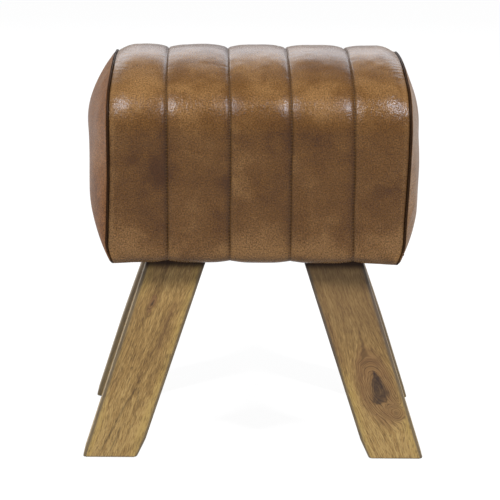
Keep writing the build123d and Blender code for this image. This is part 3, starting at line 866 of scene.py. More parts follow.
# Marks on the legs, placed across and up the leg: warm streaks, knots with the half size of their
# rings and of their dark core (up and down), and dark lines. Grain: how much it bends into flames,
# runs straight, and climbs.
legMarks = {
    "legFrontRight": {
        "grain": (3.0, 0.80, 0.02),
        "sapTop": (0.09, 0.17),
        "shade": (0.11, 0.22),
        "warm": [(-0.030, 0.0032, 0.12, 0.22)],
        "knots": [
            {"centre": (0.0065, 0.104), "ring": (0.0215, 0.046), "core": (0.0085, 0.0975),
             "coreWide": 0.0125, "coreTall": (0.034, 0.017), "lean": 0.45, "dark": 1.0},
            {"centre": (0.0200, 0.069), "ring": (0.0100, 0.0115), "core": (0.0200, 0.069),
             "coreWide": 0.0018, "coreTall": (0.002, 0.002), "lean": 0.0, "dark": 0.4},
        ],
    },
    "legFrontLeft": {
        "grain": (6.0, 0.34, 0.03),
        "sapTop": (0.60, 0.80),
        "shade": (0.22, 0.50),
        "warm": [(0.0295, 0.0035, 0.08, 0.25), (-0.016, 0.0030, 0.14, 0.24)],
        "knots": [
            {"centre": (0.0123, 0.224), "ring": (0.0035, 0.011), "core": (0.0123, 0.224),
             "coreWide": 0.0017, "coreTall": (0.005, 0.003), "lean": 0.0, "dark": 0.85},
        ],
        "lines": [[(0.0055, 0.0170), (0.0789, 0.0043), (0.107, -0.0043)], [(0.078, -0.012), (0.107, -0.0043)],
                  [(0.006, 0.004), (0.046, 0.0005)]],
    },
    "legRearRight": {"grain": (3.0, 0.6, 0.03), "sapTop": (0.2, 0.4), "shade": (0.05, 0.15)},
    "legRearLeft": {"grain": (3.0, 0.6, 0.03), "sapTop": (0.1, 0.3), "shade": (0.05, 0.15)},
}


def sectionLoop(halfRun, halfDepth, radius):
    # Rounded rectangle, anticlockwise seen from above, and how near each point is to an arris
    arc = np.linspace(0, math.pi / 2, 6)
    face = np.linspace(0, 1, leg["faceColumns"])[1:-1]
    flank = np.linspace(0, 1, leg["sideColumns"])[1:-1]
    p, q, arris = [], [], []
    corners = [(1, -1, -math.pi / 2), (1, 1, 0), (-1, 1, math.pi / 2), (-1, -1, math.pi)]
    for index, (sx, sy, start) in enumerate(corners):
        cx, cy = sx * (halfRun - radius), sy * (halfDepth - radius)
        p.append(cx + radius * np.cos(start + arc))
        q.append(cy + radius * np.sin(start + arc))
        arris.append(np.ones(len(arc)))
        nx, ny, _ = corners[(index + 1) % 4]
        along = flank if index % 2 == 0 else face
        fromX, fromY = p[-1][-1], q[-1][-1]
        turn = start + math.pi / 2
        toX = nx * (halfRun - radius) + radius * math.cos(turn)
        toY = ny * (halfDepth - radius) + radius * math.sin(turn)
        p.append(fromX + (toX - fromX) * along)
        q.append(fromY + (toY - fromY) * along)
        length = math.hypot(toX - fromX, toY - fromY)
        near = np.minimum(along, 1 - along) * length
        arris.append(np.exp(-near / leg["arrisFade"]))
    return np.concatenate(p), np.concatenate(q), np.concatenate(arris)


def legPiece(name, sideX, sideY, seed):
    # The section is carried up the leg and slides inwards with the height. Its foot is eased by a
    # quarter circle, its outer edge trimmed low down, and its arrises worn by noise.
    halfRun, halfDepth = leg["run"] / 2, (leg["back"] - leg["front"]) / 2
    p, q, arris = sectionLoop(halfRun, halfDepth, leg["arris"])
    p, q, arris = p[None, :], q[None, :], arris[None, :]
    ease, foot = leg["footEase"], leg["foot"]
    turns = np.linspace(0, math.pi / 2, 4)[:-1]
    lowRows = foot + ease * (1 - np.cos(turns))
    heights = np.concatenate([lowRows, np.linspace(foot + ease, leg["head"], leg["rows"])])[:, None]
    shrink = np.concatenate([ease * (1 - np.sin(turns)), np.zeros(leg["rows"])])[:, None]
    across, depth = p * (1 - shrink / halfRun), q * (1 - shrink / halfDepth)
    trim = leg["trim"] * np.clip(1 - (heights - foot) / leg["trimHeight"], 0, 1)
    across = across + trim * np.clip((leg["trimRun"] - p - halfRun) / leg["trimRun"], 0, 1)
    if sideY < 0:
        across = across - leg["rearSlim"] * smoothStep(*leg["slimFrom"], heights) * (p / halfRun + 1) / 2
    worn = leg["wear"] + leg["wearVaries"] * softNoise(heights / 0.022, q * 40 + p * 20, seed)
    across = across - np.sign(p) * worn * arris
    depth = depth - np.sign(q) * worn * arris
    middle = leg["footSpread"] / 2 - leg["slope"] * (heights - foot) - halfRun
    length = (heights - foot) * math.sqrt(1 + leg["slope"] ** 2) + 0 * across
    depth = depth + leg["planed"] * softNoise(across / 0.02, length / 0.05, seed + 1) * np.sign(q)
    x = sideX * (middle + across)
    y = sideY * ((leg["front"] + leg["back"]) / 2 + depth)
    z = np.broadcast_to(heights, x.shape)
    rows, columns = x.shape
    faces = gridFaces(rows, columns, wrapColumns=True)
    faces.append(list(range(columns))[::-1])
    faces.append([(rows - 1) * columns + c for c in range(columns)])
    if sideX * sideY < 0:
        faces = [f[::-1] for f in faces]
    marks = legMarks[name]
    figure, plank, knot, ringed, sap = woodFigure(across, depth, length, seed, marks)
    # Painted shade: the strip of a rear leg that shows past the leg in front of it takes the grey of the
    # arrises
    spread = np.where((sideY < 0) & (p > 0) & (q > 0), 0.12, 1.0)
    fields = {
        "shade": smoothStep(*marks["shade"], length),
        "knot": knot,
        "ringed": ringed,
        "sap": sap,
        "paintedSeatShadow": smoothStep(*leg["paintedShadowFrom"], z),
        "arris": np.broadcast_to(arris ** spread, x.shape),
        "upward": length / length.max(),
    }
    values = {key: field.ravel() for key, field in fields.items()}
    values.update(figure=figure.reshape(-1, 3), plank=plank.reshape(-1, 3))
    return makePiece(name, np.stack([x, y, z], axis=2), faces, values=values)


def woodFigure(across, depth, length, seed, marks):
    # Place in the log. Growth lines are level lines of bend times across squared, plus a straight
    # share, plus a slow climb, so they make flames. They part round a knot as water flows round a
    # post, and inside it they turn into rings, the distance from its rim.
    bend, straight, climb = marks["grain"]
    drift = across + 0.004 * softNoise(length / 0.13, across / 0.09 + 5, seed + 3)
    drift = drift + 0.0016 * softNoise(length / 0.045, across / 0.03, seed + 4)
    knot, ringed, inside = (np.zeros_like(across) for field in range(3))
    for k in marks.get("knots", []):
        (centre, along), (wide, tall), (upper, lower) = k["centre"], k["ring"], k["coreTall"]
        dx = across - centre + 0.0020 * softNoise(length / 0.012, across / 0.012, seed + 5)
        r = np.maximum(np.hypot(dx, (length - along) * wide / tall), 1e-6)
        drift = centre + (drift - centre) * np.clip(1 - (wide / r) ** 2, 0, 1)
        inside = np.where(r < wide, wide - r, inside)
        ringed = np.maximum(ringed, 1 - smoothStep(wide * 0.95, wide * 1.5, r))
        up = length - k["core"][1]
        taper = np.where(up > 0, (1 - np.clip(up / upper, 0, 1)) ** 0.8,
                         np.sqrt(1 - np.clip(-up / lower, 0, 1) ** 2))
        middle = k["core"][0] + k["lean"] * np.minimum(up, 0)
        away = np.abs(across - middle + 0.0012 * softNoise(length / 0.004, across / 0.005, seed + 6))
        core = 1 - smoothStep(0.55, 1.25, away / np.maximum(k["coreWide"] * taper, 1e-5))
        mottle = 0.9 + 0.2 * softNoise(length / 0.003, across / 0.003, seed + 8)
        core = core * (0.84 + 0.16 * smoothStep(0.0, 0.018, up)) * mottle
        knot = np.maximum(knot, core * k["dark"])
    for middle, wide, low, high in marks.get("warm", []):
        off = across - middle + 0.002 * softNoise(length / 0.05, across * 0, seed + 9)
        band = smoothStep(low, low + 0.03, length) * (1 - smoothStep(high - 0.03, high, length))
        streaky = 0.65 + 0.35 * softNoise(length / 0.02, across / 0.002, seed + 10)
        ringed = np.maximum(ringed, 0.75 * band * streaky * np.exp(-(off / wide) ** 2))
    for line in marks.get("lines", []):
        heights, sides = np.array(line).T
        off = across - np.interp(length, heights, sides)
        low, high = heights[[0, -1]]
        tapered = smoothStep(0, 0.006, length - low) * (1 - smoothStep(-0.006, 0, length - high))
        knot = np.maximum(knot, 0.62 * tapered * np.exp(-(off / 0.0010) ** 2))
    ring = bend * drift ** 2 + straight * drift + climb * length + inside + leg["ringShift"]
    edge = np.abs(across + 0.004 * softNoise(length / 0.05, across / 0.02, seed + 7))
    low, high = marks["sapTop"]
    sap = smoothStep(0.0225, 0.0320, edge) * (1 - smoothStep(low, high, length))
    figure = np.stack([ring, depth + seed * 0.37, length + seed * 0.91], axis=2)
    plank = np.stack([drift + inside + seed * 0.21, depth + seed * 0.37, length + seed * 0.91], axis=2)
    return figure, plank, knot, ringed, sap


legPieces = []
for seed, (row, hand, sideX, sideY) in enumerate([("Front", "Right", 1, 1), ("Front", "Left", -1, 1),
                                                  ("Rear", "Right", 1, -1), ("Rear", "Left", -1, -1)], 1):
    piece = legPiece(f"leg{row}{hand}", sideX, sideY, seed)
    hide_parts(f"leg_{row}_{hand}".lower())
    legPieces.append(piece)
print("legs made")

# Materials


def newMaterial(name):
    material = bpy.data.materials.new(name)
    material.use_nodes = True
    material.node_tree.nodes.clear()
    tree = material.node_tree
    shader = tree.nodes.new("ShaderNodeBsdfPrincipled")
    output = tree.nodes.new("ShaderNodeOutputMaterial")
    tree.links.new(shader.outputs["BSDF"], output.inputs["Surface"])
    return material, tree, shader


def addNode(tree, kind, settings=None, **inputs):
    node = tree.nodes.new(kind)
    for key, value in (settings or {}).items():
        setattr(node, key, value)
    for key, value in inputs.items():
        feed(tree, node.inputs[key.replace("_", " ")], value)
    return node


def feed(tree, socket, value):
    if isinstance(value, bpy.types.NodeSocket):
        tree.links.new(value, socket)
    else:
        socket.default_value = value


def maths(tree, operation, a, b=0.0, clamp=False):
    node = tree.nodes.new("ShaderNodeMath")
    node.operation = operation
    node.use_clamp = clamp
    feed(tree, node.inputs[0], a)
    feed(tree, node.inputs[1], b)
    return node.outputs[0]


def times(tree, a, b):
    return maths(tree, "MULTIPLY", a, b)


def plus(tree, a, b):
    return maths(tree, "ADD", a, b)


def weighted(tree, *terms):
    # Sum of values, each times its weight
    total = times(tree, *terms[0])
    for value, weight in terms[1:]:
        total = plus(tree, total, times(tree, value, weight))
    return total


def leaned(tree, tone, lean):
    # A lean of one half leaves the tone as it is
    return plus(tree, tone, maths(tree, "SUBTRACT", lean, 0.5))


def mixColour(tree, share, a, b, blend="MIX"):
    node = tree.nodes.new("ShaderNodeMix")
    node.data_type = "RGBA"
    node.blend_type = blend
    feed(tree, node.inputs["Factor"], share)
    feed(tree, node.inputs[6], a)
    feed(tree, node.inputs[7], b)
    return node.outputs[2]


def overlaid(tree, under, over, mask, strength):
    # One colour over another, as strong as a mask times its strength
    return mixColour(tree, times(tree, mask, strength), under, over)


def noise(tree, vector, scale, detail=3.0, roughness=0.5, distortion=0.0):
    node = addNode(tree, "ShaderNodeTexNoise", Vector=vector, Scale=scale, Detail=detail,
                   Roughness=roughness, Distortion=distortion)
    return node.outputs["Fac"]


def ramp(tree, value, low, high, start=0.0, end=1.0, kind="SMOOTHSTEP"):
    node = addNode(tree, "ShaderNodeMapRange", {"interpolation_type": kind}, Value=value)
    for title, edge in (("From Min", low), ("From Max", high), ("To Min", start), ("To Max", end)):
        node.inputs[title].default_value = edge
    return node.outputs["Result"]


def stretched(tree, vector, scale):
    return addNode(tree, "ShaderNodeMapping", Vector=vector, Scale=scale).outputs["Vector"]


def attribute(tree, name, output="Fac"):
    return addNode(tree, "ShaderNodeAttribute", {"attribute_name": name}).outputs[output]


def objectPlace(tree):
    return addNode(tree, "ShaderNodeTexCoord").outputs["Object"]


def finishSurface(tree, shader, colour, roughness, height, strength, distance):
    # Puts a colour, a roughness and a bump in the shader
    bump = addNode(tree, "ShaderNodeBump", Strength=strength, Distance=distance, Height=height)
    values = {"Base Color": colour, "Roughness": roughness, "Normal": bump.outputs["Normal"]}
    for title, value in values.items():
        tree.links.new(value, shader.inputs[title])


def newGroup(name, inputs, outputs):
    # Inputs are a kind and a start value by name, outputs a kind by name
    tree = bpy.data.node_groups.new(name, "ShaderNodeTree")
    for title, (kind, value) in inputs.items():
        socket = tree.interface.new_socket(name=title, in_out="INPUT", socket_type=f"NodeSocket{kind}")
        if value is not None:
            socket.default_value = value
    for title, kind in outputs.items():
        tree.interface.new_socket(name=title, in_out="OUTPUT", socket_type=f"NodeSocket{kind}")
    return tree, tree.nodes.new("NodeGroupInput"), tree.nodes.new("NodeGroupOutput")


def endGroup(tree, end, **outputs):
    for title, value in outputs.items():
        tree.links.new(value, end.inputs[title])
    return tree


def placeGroup(tree, group, **inputs):
    node = tree.nodes.new("ShaderNodeGroup")
    node.node_tree = group
    for title, value in inputs.items():
        feed(tree, node.inputs[title], value)
    return node


def buildHideGrain():
    # Pebbled cells with soft walls, pores, and faint wandering creases
    tree, start, end = newGroup("hideGrain", {
        "Place": ("Vector", None), "Cell": ("Float", 480.0), "Depth": ("Float", 1.0),
    }, {"Height": "Float", "Pores": "Float"})
    place = start.outputs["Place"]
    cells = addNode(tree, "ShaderNodeTexVoronoi", {"feature": "SMOOTH_F1"}, Vector=place,
                    Scale=start.outputs["Cell"], Smoothness=0.5).outputs["Distance"]
    fine = noise(tree, place, 1300.0, 2.0)
    medium = noise(tree, place, 260.0, 3.0, 0.65)
    broad = noise(tree, place, 95.0, 3.0, 0.6)
    crease = noise(tree, stretched(tree, place, (230.0, 70.0, 70.0)), 1.0, 2.0, 0.5, 1.2)
    line = ramp(tree, maths(tree, "ABSOLUTE", maths(tree, "SUBTRACT", crease, 0.5)), 0.0, 0.05)
    height = weighted(tree, (cells, -0.40), (fine, 0.20), (medium, 0.60), (broad, 0.50), (line, 0.10))
    pores = ramp(tree, noise(tree, place, 780.0, 2.0, 0.6), 0.52, 0.70)
    return endGroup(tree, end, Height=times(tree, height, start.outputs["Depth"]), Pores=pores)


def buildPatina():
    # Three tones of hand-rubbed dye in clouds of three sizes, and a speckle that lightens and darkens
    tree, start, end = newGroup("patina", {
        "Place": ("Vector", None), "Lean": ("Float", 0.5), "Dark": ("Color", (0.07, 0.03, 0.01, 1)),
        "Mid": ("Color", (0.16, 0.08, 0.03, 1)), "Light": ("Color", (0.3, 0.16, 0.06, 1)),
    }, {"Colour": "Color", "Rub": "Float"})
    place = start.outputs["Place"]
    clouds = noise(tree, place, 15.0, 3.0, 0.55, 0.5)
    blots = noise(tree, place, 55.0, 4.0, 0.62, 0.8)
    speckle = noise(tree, place, 560.0, 3.0, 0.75)
    tone = leaned(tree, weighted(tree, (clouds, 0.55), (blots, 0.30), (speckle, 0.15)), start.outputs["Lean"])
    darker = mixColour(tree, ramp(tree, tone, 0.28, 0.52), start.outputs["Dark"], start.outputs["Mid"])
    lighter = mixColour(tree, ramp(tree, tone, 0.48, 0.76), darker, start.outputs["Light"])
    flecks = ramp(tree, speckle, 0.32, 0.68, 0.36, 1.64, "LINEAR")
    return endGroup(tree, end, Colour=mixColour(tree, 1.0, lighter, flecks, "MULTIPLY"), Rub=tone)


hideGrain = buildHideGrain()
patina = buildPatina()

# Leather: its three tones, the tone of the cut edge, the roughness, and how far its pattern is
# moved so that no two hides share it
leatherTones = {
    "channel": {
        "dark": (0.052, 0.021, 0.006, 1), "mid": (0.098, 0.045, 0.012, 1), "light": (0.168, 0.088, 0.031, 1),
        "edge": (0.042, 0.020, 0.010, 1), "rough": 0.31, "shift": 0.0,
    },
    "leftEnd": {
        "dark": (0.104, 0.038, 0.010, 1), "mid": (0.170, 0.070, 0.020, 1), "light": (0.252, 0.125, 0.048, 1),
        "edge": (0.050, 0.025, 0.012, 1), "rough": 0.46, "shift": 2.3,
    },
    "rightEnd": {
        "dark": (0.110, 0.050, 0.018, 1), "mid": (0.178, 0.092, 0.036, 1), "light": (0.265, 0.152, 0.075, 1),
        "edge": (0.050, 0.025, 0.012, 1), "rough": 0.42, "shift": 3.1,
    },
}
# Painted shade: the dark of the seam valleys and of the gap beside each standing edge
leatherPaintedShade = {"valley": (0.022, 0.010, 0.004, 1), "gapShade": (0.014, 0.007, 0.003, 1)}


def leatherMaterial(title):
    material, tree, shader = newMaterial(f"{title}Leather")
    look = leatherTones[title]
    dark, light, shift = look["dark"], look["light"], look["shift"]
    place = addNode(tree, "ShaderNodeUVMap", {"uv_map": "surface"}).outputs["UV"]
    by = (shift, shift * 0.7, shift * 0.3)
    moved = addNode(tree, "ShaderNodeMapping", Vector=place, Location=by).outputs["Vector"]
    lean = plus(tree, plus(tree, attribute(tree, "tone"), attribute(tree, "flank")), 0.5)
    rubbed = placeGroup(tree, patina, Place=moved, Lean=lean, Dark=dark, Mid=look["mid"], Light=light).outputs
    grain = placeGroup(tree, hideGrain, Place=moved).outputs
    valley, raw, gapShade = (attribute(tree, field) for field in ("valley", "rawEdge", "gapShade"))
    # The hide rises between one stitch and the next as a bump, and is painted lighter there, a painted
    # highlight
    along = addNode(tree, "ShaderNodeSeparateXYZ", Vector=place).outputs["Y"]
    turns = times(tree, maths(tree, "SUBTRACT", along, float(frontWall)), 2 * math.pi / stitch["pitch"])
    between = ramp(tree, maths(tree, "COSINE", turns), 0.1, 0.9)
    risen = times(tree, times(tree, between, ramp(tree, valley, 0.25, 0.8)), 0.50)
    colour = overlaid(tree, rubbed["Colour"], dark, grain["Pores"], 0.45)
    # Painted shade in the seam valleys
    colour = overlaid(tree, colour, leatherPaintedShade["valley"], valley, 0.72)
    colour = mixColour(tree, risen, colour, light)
    edge = mixColour(tree, noise(tree, moved, 900.0, 2.0), dark, look["edge"])
    colour = mixColour(tree, ramp(tree, raw, 0.1, 0.8), colour, edge)
    # Painted shade in the gap at each standing edge
    colour = overlaid(tree, colour, leatherPaintedShade["gapShade"], gapShade, 0.92)
    dull = weighted(tree, (grain["Pores"], 0.12), (rubbed["Rub"], -0.10))
    dull = plus(tree, plus(tree, dull, look["rough"]), times(tree, raw, 0.15))
    calm = maths(tree, "SUBTRACT", 1.0, times(tree, attribute(tree, "polish"), 0.65))
    height = times(tree, plus(tree, grain["Height"], times(tree, risen, 0.6)), calm)
    finishSurface(tree, shader, colour, dull, height, 0.85, 0.0006)
    # Less reflection where the gap is painted in shade
    matt = maths(tree, "SUBTRACT", 0.22, times(tree, gapShade, 0.20), clamp=True)
    tree.links.new(matt, shader.inputs["Specular IOR Level"])
    shader.inputs["Specular Tint"].default_value = (0.80, 0.86, 1.0, 1)
    return material


def meshPoints(piece):
    points = np.empty(len(piece.data.vertices) * 3, dtype=np.float32)
    piece.data.vertices.foreach_get("co", points)
    return points.reshape(-1, 3).astype(float)


# Wide patches on the front, some of tone and some of painted light along the lower edge: x, z, half width,
# half height, lean towards light
toneAndLightPatches = [
    (-0.150, 0.485, 0.040, 0.026, 0.16),
    (-0.121, 0.402, 0.022, 0.046, -0.12),
    (-0.105, 0.330, 0.020, 0.020, -0.04),
    (-0.085, 0.470, 0.030, 0.020, 0.06),
    # Painted light along the lower edge of the front and at its two lower corners
    (0.00, 0.288, 0.20, 0.026, 0.22),
    (0.175, 0.300, 0.03, 0.025, 0.13),
    (-0.165, 0.300, 0.03, 0.025, 0.14),
    (0.075, 0.470, 0.030, 0.016, 0.10),
    (0.080, 0.440, 0.024, 0.016, -0.08),
    (0.150, 0.360, 0.030, 0.040, -0.04),
]
crestTone = {
    "lift": 0.10,            # the hide is lighter from the shoulder up
    "liftFrom": (0.455, 0.480),
    "line": 0.06,            # and darker in a line along the front of the crest, a painted shade
    "lineAt": 0.502,
    "lineWide": 0.007,
}
polishFrom = (0.470, 0.505)


def leatherTone(points):
    # Lean towards light on the channels: a bell curve for each patch, some of them painted light, and the two
    # tones of the crest, whose darker line is painted shade
    x, y, z = points.T
    field = np.zeros(len(points))
    for patchX, patchZ, wide, tall, amount in toneAndLightPatches:
        field += amount * np.exp(-((x - patchX) / wide) ** 2 - ((z - patchZ) / tall) ** 2)
    field -= crestTone["line"] * np.exp(-((z - crestTone["lineAt"]) / crestTone["lineWide"]) ** 2)
    return field * (y < 0) + crestTone["lift"] * smoothStep(*crestTone["liftFrom"], z)


channelLeather = leatherMaterial("channel")
for piece in channelPieces:
    points = meshPoints(piece)
    addField(piece, "tone", leatherTone(points))
    addField(piece, "polish", smoothStep(*polishFrom, points[:, 2]))
    piece.data.materials.append(channelLeather)
for piece, title in zip(endPieces, ("leftEnd", "rightEnd")):
    addField(piece, "tone", np.zeros(len(piece.data.vertices)))
    piece.data.materials.append(leatherMaterial(title))


def threadMaterial():
    # Dark waxed thread with the twist of its strands
    material, tree, shader = newMaterial("waxedThread")
    twist = noise(tree, objectPlace(tree), 1400.0, 2.0)
    colour = mixColour(tree, twist, (0.010, 0.005, 0.003, 1), (0.050, 0.025, 0.012, 1))
    finishSurface(tree, shader, colour, plus(tree, times(tree, twist, 0.2), 0.45), twist, 0.4, 0.0002)
    return material


stitches.data.materials.append(threadMaterial())


def buildWoodGrain():
    # Streaks stretched along the plank at three widths, thin growth lines, and short dark pores
    tree, start, end = newGroup("woodGrain", {
        "Log": ("Vector", None), "Plank": ("Vector", None),
        "Lean": ("Float", 0.5), "Ring Pitch": ("Float", 0.0026),
        "Dark": ("Color", (0.1, 0.05, 0.02, 1)), "Mid": ("Color", (0.25, 0.15, 0.06, 1)),
        "Light": ("Color", (0.4, 0.26, 0.1, 1)),
    }, {"Colour": "Color", "Pores": "Float", "Streak": "Float", "Line": "Float"})
    log, plank = start.outputs["Log"], start.outputs["Plank"]
    broad = noise(tree, stretched(tree, log, (75.0, 50.0, 4.0)), 1.0, 3.0, 0.5, 0.3)
    streak = noise(tree, stretched(tree, log, (330.0, 220.0, 11.0)), 1.0, 4.0, 0.65, 0.3)
    fleck = noise(tree, stretched(tree, plank, (900.0, 700.0, 110.0)), 1.0, 3.0, 0.65)
    tone = leaned(tree, weighted(tree, (broad, 0.12), (streak, 0.38), (fleck, 0.50)), start.outputs["Lean"])
    low = mixColour(tree, ramp(tree, tone, 0.34, 0.52), start.outputs["Dark"], start.outputs["Mid"])
    high = mixColour(tree, ramp(tree, tone, 0.48, 0.66), low, start.outputs["Light"])
    pores = ramp(tree, noise(tree, stretched(tree, plank, (980.0, 760.0, 120.0)), 1.0, 1.0), 0.54, 0.68)
    across = addNode(tree, "ShaderNodeSeparateXYZ", Vector=log).outputs["X"]
    rings = maths(tree, "DIVIDE", across, start.outputs["Ring Pitch"])
    wander = times(tree, noise(tree, stretched(tree, log, (160.0, 120.0, 30.0)), 1.0, 2.0), 2.2)
    wave = maths(tree, "SINE", times(tree, plus(tree, rings, wander), 2 * math.pi))
    return endGroup(tree, end, Colour=high, Pores=pores, Streak=streak, Line=ramp(tree, wave, 0.45, 1.0))


woodGrain = buildWoodGrain()
legTones = {
    "dark": (0.090, 0.048, 0.018, 1),
    "mid": (0.270, 0.162, 0.053, 1),
    "light": (0.425, 0.285, 0.108, 1),
    "sap": (0.400, 0.275, 0.072, 1),
    "heart": (0.175, 0.086, 0.038, 1),
    "upperDark": (0.130, 0.075, 0.034, 1),
    "knot": (0.020, 0.011, 0.010, 1),
    "arris": (0.062, 0.053, 0.048, 1),
    "lowLight": 0.09,
}


def legMaterial(name, tones):
    # The grain, then one colour over another: darker towards the top, sapwood, heartwood, growth lines,
    # pores, knots, the arrises darkened grey as painted shade, and a painted shadow just under the seat
    material, tree, shader = newMaterial(name)
    ringed, sap, under = (attribute(tree, field) for field in ("ringed", "sap", "paintedSeatShadow"))
    # Painted light: the lower part of each leg is made lighter
    lean = times(tree, ramp(tree, attribute(tree, "upward"), 0.40, 0.0), tones["lowLight"])
    lean = plus(tree, plus(tree, lean, 0.5), times(tree, sap, 0.05))
    log, plank = (attribute(tree, field, "Vector") for field in ("figure", "plank"))
    wood = placeGroup(tree, woodGrain, Log=log, Plank=plank, Lean=lean, Dark=tones["dark"], Mid=tones["mid"],
                      Light=tones["light"]).outputs
    # Darker towards the top of each leg
    colour = overlaid(tree, wood["Colour"], tones["upperDark"], attribute(tree, "shade"), 0.55)
    colour = overlaid(tree, colour, tones["sap"], sap, 0.36)
    colour = overlaid(tree, colour, tones["heart"], ringed, 0.62)
    lines = times(tree, plus(tree, times(tree, ringed, 0.58), 0.24), wood["Line"])
    colour = mixColour(tree, lines, colour, tones["dark"])
    colour = overlaid(tree, colour, tones["dark"], wood["Pores"], 0.50)
    colour = overlaid(tree, colour, tones["knot"], attribute(tree, "knot"), 0.93)
    # Painted shade: the arrises darkened grey
    colour = overlaid(tree, colour, tones["arris"], attribute(tree, "arris"), 0.70)
    # Painted shadow just under the seat
    colour = overlaid(tree, colour, tones["knot"], under, 0.94)
    rough = plus(tree, times(tree, wood["Streak"], 0.16), 0.44)
    height = maths(tree, "SUBTRACT", times(tree, wood["Streak"], 0.6), wood["Pores"])
    finishSurface(tree, shader, colour, rough, height, 0.45, 0.0004)
    # Less reflection in that painted shadow
    matt = maths(tree, "SUBTRACT", 0.30, times(tree, under, 0.25), clamp=True)
    tree.links.new(matt, shader.inputs["Specular IOR Level"])
    return material


legWood = legMaterial("legWood", legTones)
for piece in legPieces:
    piece.data.materials.append(legWood)


# Finishes of the hidden pieces and of the CAD solids that stay
def boardMaterial(name, order):
    # Sawn softwood with its grain along the last of the three axes in order
    material, tree, shader = newMaterial(name)
    axes = addNode(tree, "ShaderNodeSeparateXYZ", Vector=objectPlace(tree)).outputs
    turned = {title: axes[axis] for title, axis in zip("XYZ", order)}
    log = addNode(tree, "ShaderNodeCombineXYZ", **turned).outputs["Vector"]
    wood = placeGroup(tree, woodGrain, Log=log, Plank=log, Dark=(0.30, 0.17, 0.07, 1),
                      Mid=(0.48, 0.33, 0.17, 1), Light=(0.60, 0.45, 0.27, 1)).outputs
    colour = overlaid(tree, wood["Colour"], (0.34, 0.19, 0.08, 1), wood["Line"], 0.35)
    rough = plus(tree, times(tree, wood["Streak"], 0.2), 0.6)
    finishSurface(tree, shader, colour, rough, wood["Streak"], 0.4, 0.0005)
    return material


def fibreMaterial(name, dark, light, scale, rough):
    # Loose fibres or foam cells: a cell pattern over a finer noise, for colour and height alike
    material, tree, shader = newMaterial(name)
    place = objectPlace(tree)
    cells = addNode(tree, "ShaderNodeTexVoronoi", Vector=place, Scale=scale).outputs["Distance"]
    hairs = noise(tree, stretched(tree, place, (scale * 0.7, scale * 2.1, scale)), 1.0, 3.0, 0.7, 1.5)
    height = plus(tree, times(tree, cells, 0.6), hairs)
    colour = mixColour(tree, ramp(tree, height, 0.45, 1.05), dark, light)
    finishSurface(tree, shader, colour, plus(tree, times(tree, hairs, 0.15), rough), height, 0.6, 0.0006)
    shader.inputs["Specular IOR Level"].default_value = 0.2
    return material


def zincMaterial():
    # Bright zinc with spangle and handling scratches
    material, tree, shader = newMaterial("zincSteel")
    place = objectPlace(tree)
    spangle = addNode(tree, "ShaderNodeTexVoronoi", Vector=place, Scale=700.0).outputs["Distance"]
    scratch = noise(tree, stretched(tree, place, (300.0, 2600.0, 900.0)), 1.0, 3.0, 0.7)
    colour = mixColour(tree, spangle, (0.50, 0.51, 0.52, 1), (0.68, 0.68, 0.66, 1))
    finishSurface(tree, shader, colour, plus(tree, times(tree, scratch, 0.3), 0.2), scratch, 0.2, 0.0002)
    shader.inputs["Metallic"].default_value = 1.0
    return material


def dress(material, *names):
    for name in names:
        for holder in nodes[name].material_slots:
            holder.material = material
        if not nodes[name].material_slots:
            nodes[name].data.materials.append(material)


dress(boardMaterial("boxWoodLong", "ZYX"), "front_board", "rear_board", "top_board")
dress(boardMaterial("boxWoodCross", "ZXY"), "left_end_board", "right_end_board", "top_batten")
dress(boardMaterial("boxWoodUpright", "XYZ"), "corner_blocks")
dress(zincMaterial(), "leg_bolts", "leg_nuts", "leg_washers", "side_screws", "top_screws", "staples")
dress(fibreMaterial("feetFelt", (0.012, 0.010, 0.009, 1), (0.050, 0.042, 0.036, 1), 900.0, 0.85),
      "foot_pad_front_left", "foot_pad_front_right", "foot_pad_rear_left", "foot_pad_rear_right")
waddingFibre = fibreMaterial("waddingFibre", (0.62, 0.60, 0.55, 1), (0.80, 0.79, 0.75, 1), 420.0, 0.8)
foamCells = fibreMaterial("foamCells", (0.52, 0.40, 0.20, 1), (0.72, 0.60, 0.36, 1), 900.0, 0.8)
dustCloth = fibreMaterial("dustCloth", (0.010, 0.010, 0.011, 1), (0.040, 0.040, 0.042, 1), 1100.0, 0.8)
for fibre, pieces in ((waddingFibre, waddingPieces), (foamCells, foamPieces), (dustCloth, [dustCover])):
    for piece in pieces:
        piece.data.materials.append(fibre)
print("finishes made")

# Floor, backdrop and light
studio = {
    "floorSize": 12.0,
    "floorGlow": 0.93,
    "floorColour": 0.14,
    "bounceColour": 0.50,
    "aim": (0, 0, 0.36),     # where the lamps point
}


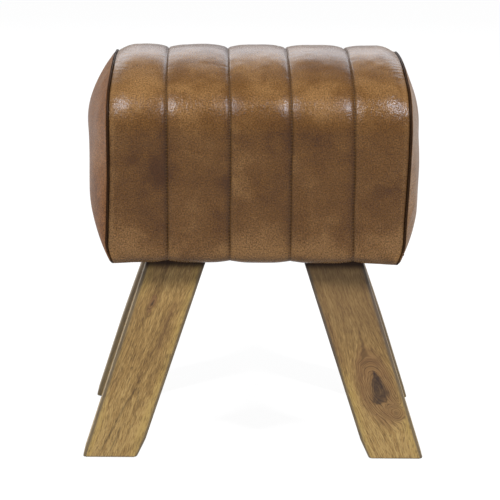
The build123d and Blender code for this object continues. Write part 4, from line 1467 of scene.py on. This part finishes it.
def buildFloor():
    # Paper that glows white to the camera and throws a calm grey light back on the stool
    half = studio["floorSize"] / 2
    mesh = bpy.data.meshes.new("studioFloor")
    corners = [(-half, -half, 0), (half, -half, 0), (half, half, 0), (-half, half, 0)]
    mesh.from_pydata(corners, [], [(0, 1, 2, 3)])
    floor = bpy.data.objects.new("studioFloor", mesh)
    scene.collection.objects.link(floor)
    material = bpy.data.materials.new("floorPaper")
    material.use_nodes = True
    tree = material.node_tree
    tree.nodes.clear()
    path = addNode(tree, "ShaderNodeLightPath").outputs
    seen = maths(tree, "MAXIMUM", path["Is Camera Ray"], path["Is Glossy Ray"])
    seen = maths(tree, "MAXIMUM", seen, path["Is Transmission Ray"])
    glow = addNode(tree, "ShaderNodeEmission", Color=(1, 1, 1, 1), Strength=studio["floorGlow"])
    paper, bounce = (addNode(tree, "ShaderNodeBsdfDiffuse", Color=(studio[key],) * 3 + (1,))
                     for key in ("floorColour", "bounceColour"))
    both, mix = addNode(tree, "ShaderNodeAddShader"), addNode(tree, "ShaderNodeMixShader")
    output = addNode(tree, "ShaderNodeOutputMaterial")
    tree.links.new(glow.outputs[0], both.inputs[0])
    tree.links.new(paper.outputs[0], both.inputs[1])
    tree.links.new(seen, mix.inputs[0])
    tree.links.new(bounce.outputs[0], mix.inputs[1])
    tree.links.new(both.outputs[0], mix.inputs[2])
    tree.links.new(mix.outputs[0], output.inputs["Surface"])
    mesh.materials.append(material)


def buildWorld():
    # White to the camera, and a soft grey that darkens upwards in the light it gives
    world = bpy.data.worlds.new("studioWorld")
    scene.world = world
    world.use_nodes = True
    tree = world.node_tree
    tree.nodes.clear()
    direction = addNode(tree, "ShaderNodeTexCoord").outputs["Generated"]
    upward = addNode(tree, "ShaderNodeSeparateXYZ", Vector=direction).outputs["Z"]
    lit = mixColour(tree, ramp(tree, upward, 0.30, 0.55), (0.44, 0.44, 0.46, 1), (0.30, 0.30, 0.31, 1))
    path = addNode(tree, "ShaderNodeLightPath").outputs
    seen = mixColour(tree, path["Is Camera Ray"], lit, (1, 1, 1, 1))
    background = addNode(tree, "ShaderNodeBackground", Color=seen, Strength=1.0)
    output = addNode(tree, "ShaderNodeOutputWorld")
    tree.links.new(background.outputs[0], output.inputs["Surface"])


lamps = {
    # azimuth from the front to the right, elevation, distance, width, height, watts, colour
    "rightBox": (46, 45, 2.0, 0.22, 0.42, 38, (1, 1, 1)),
    "leftBox": (-49, 45, 2.0, 0.22, 0.42, 34, (1, 1, 1)),
    "backWall": (180, 23.5, 3.2, 3.0, 1.15, 23, (0.90, 0.96, 1.04)),
}


def buildLamps():
    aim = Vector(studio["aim"])
    for name, (azimuth, elevation, distance, width, height, watts, colour) in lamps.items():
        angle, rise = math.radians(azimuth), math.radians(elevation)
        away = Vector((math.sin(angle) * math.cos(rise), -math.cos(angle) * math.cos(rise), math.sin(rise)))
        data = bpy.data.lights.new(name, "AREA")
        data.shape = "RECTANGLE"
        data.size, data.size_y = width, height
        data.energy = watts
        data.color = colour
        lamp = bpy.data.objects.new(name, data)
        lamp.location = aim + away * distance
        lamp.rotation_euler = away.to_track_quat("Z", "Y").to_euler()
        lamp.visible_camera = False
        scene.collection.objects.link(lamp)


buildFloor()
buildWorld()
buildLamps()
scene.view_settings.view_transform = "Standard"
print("studio made")
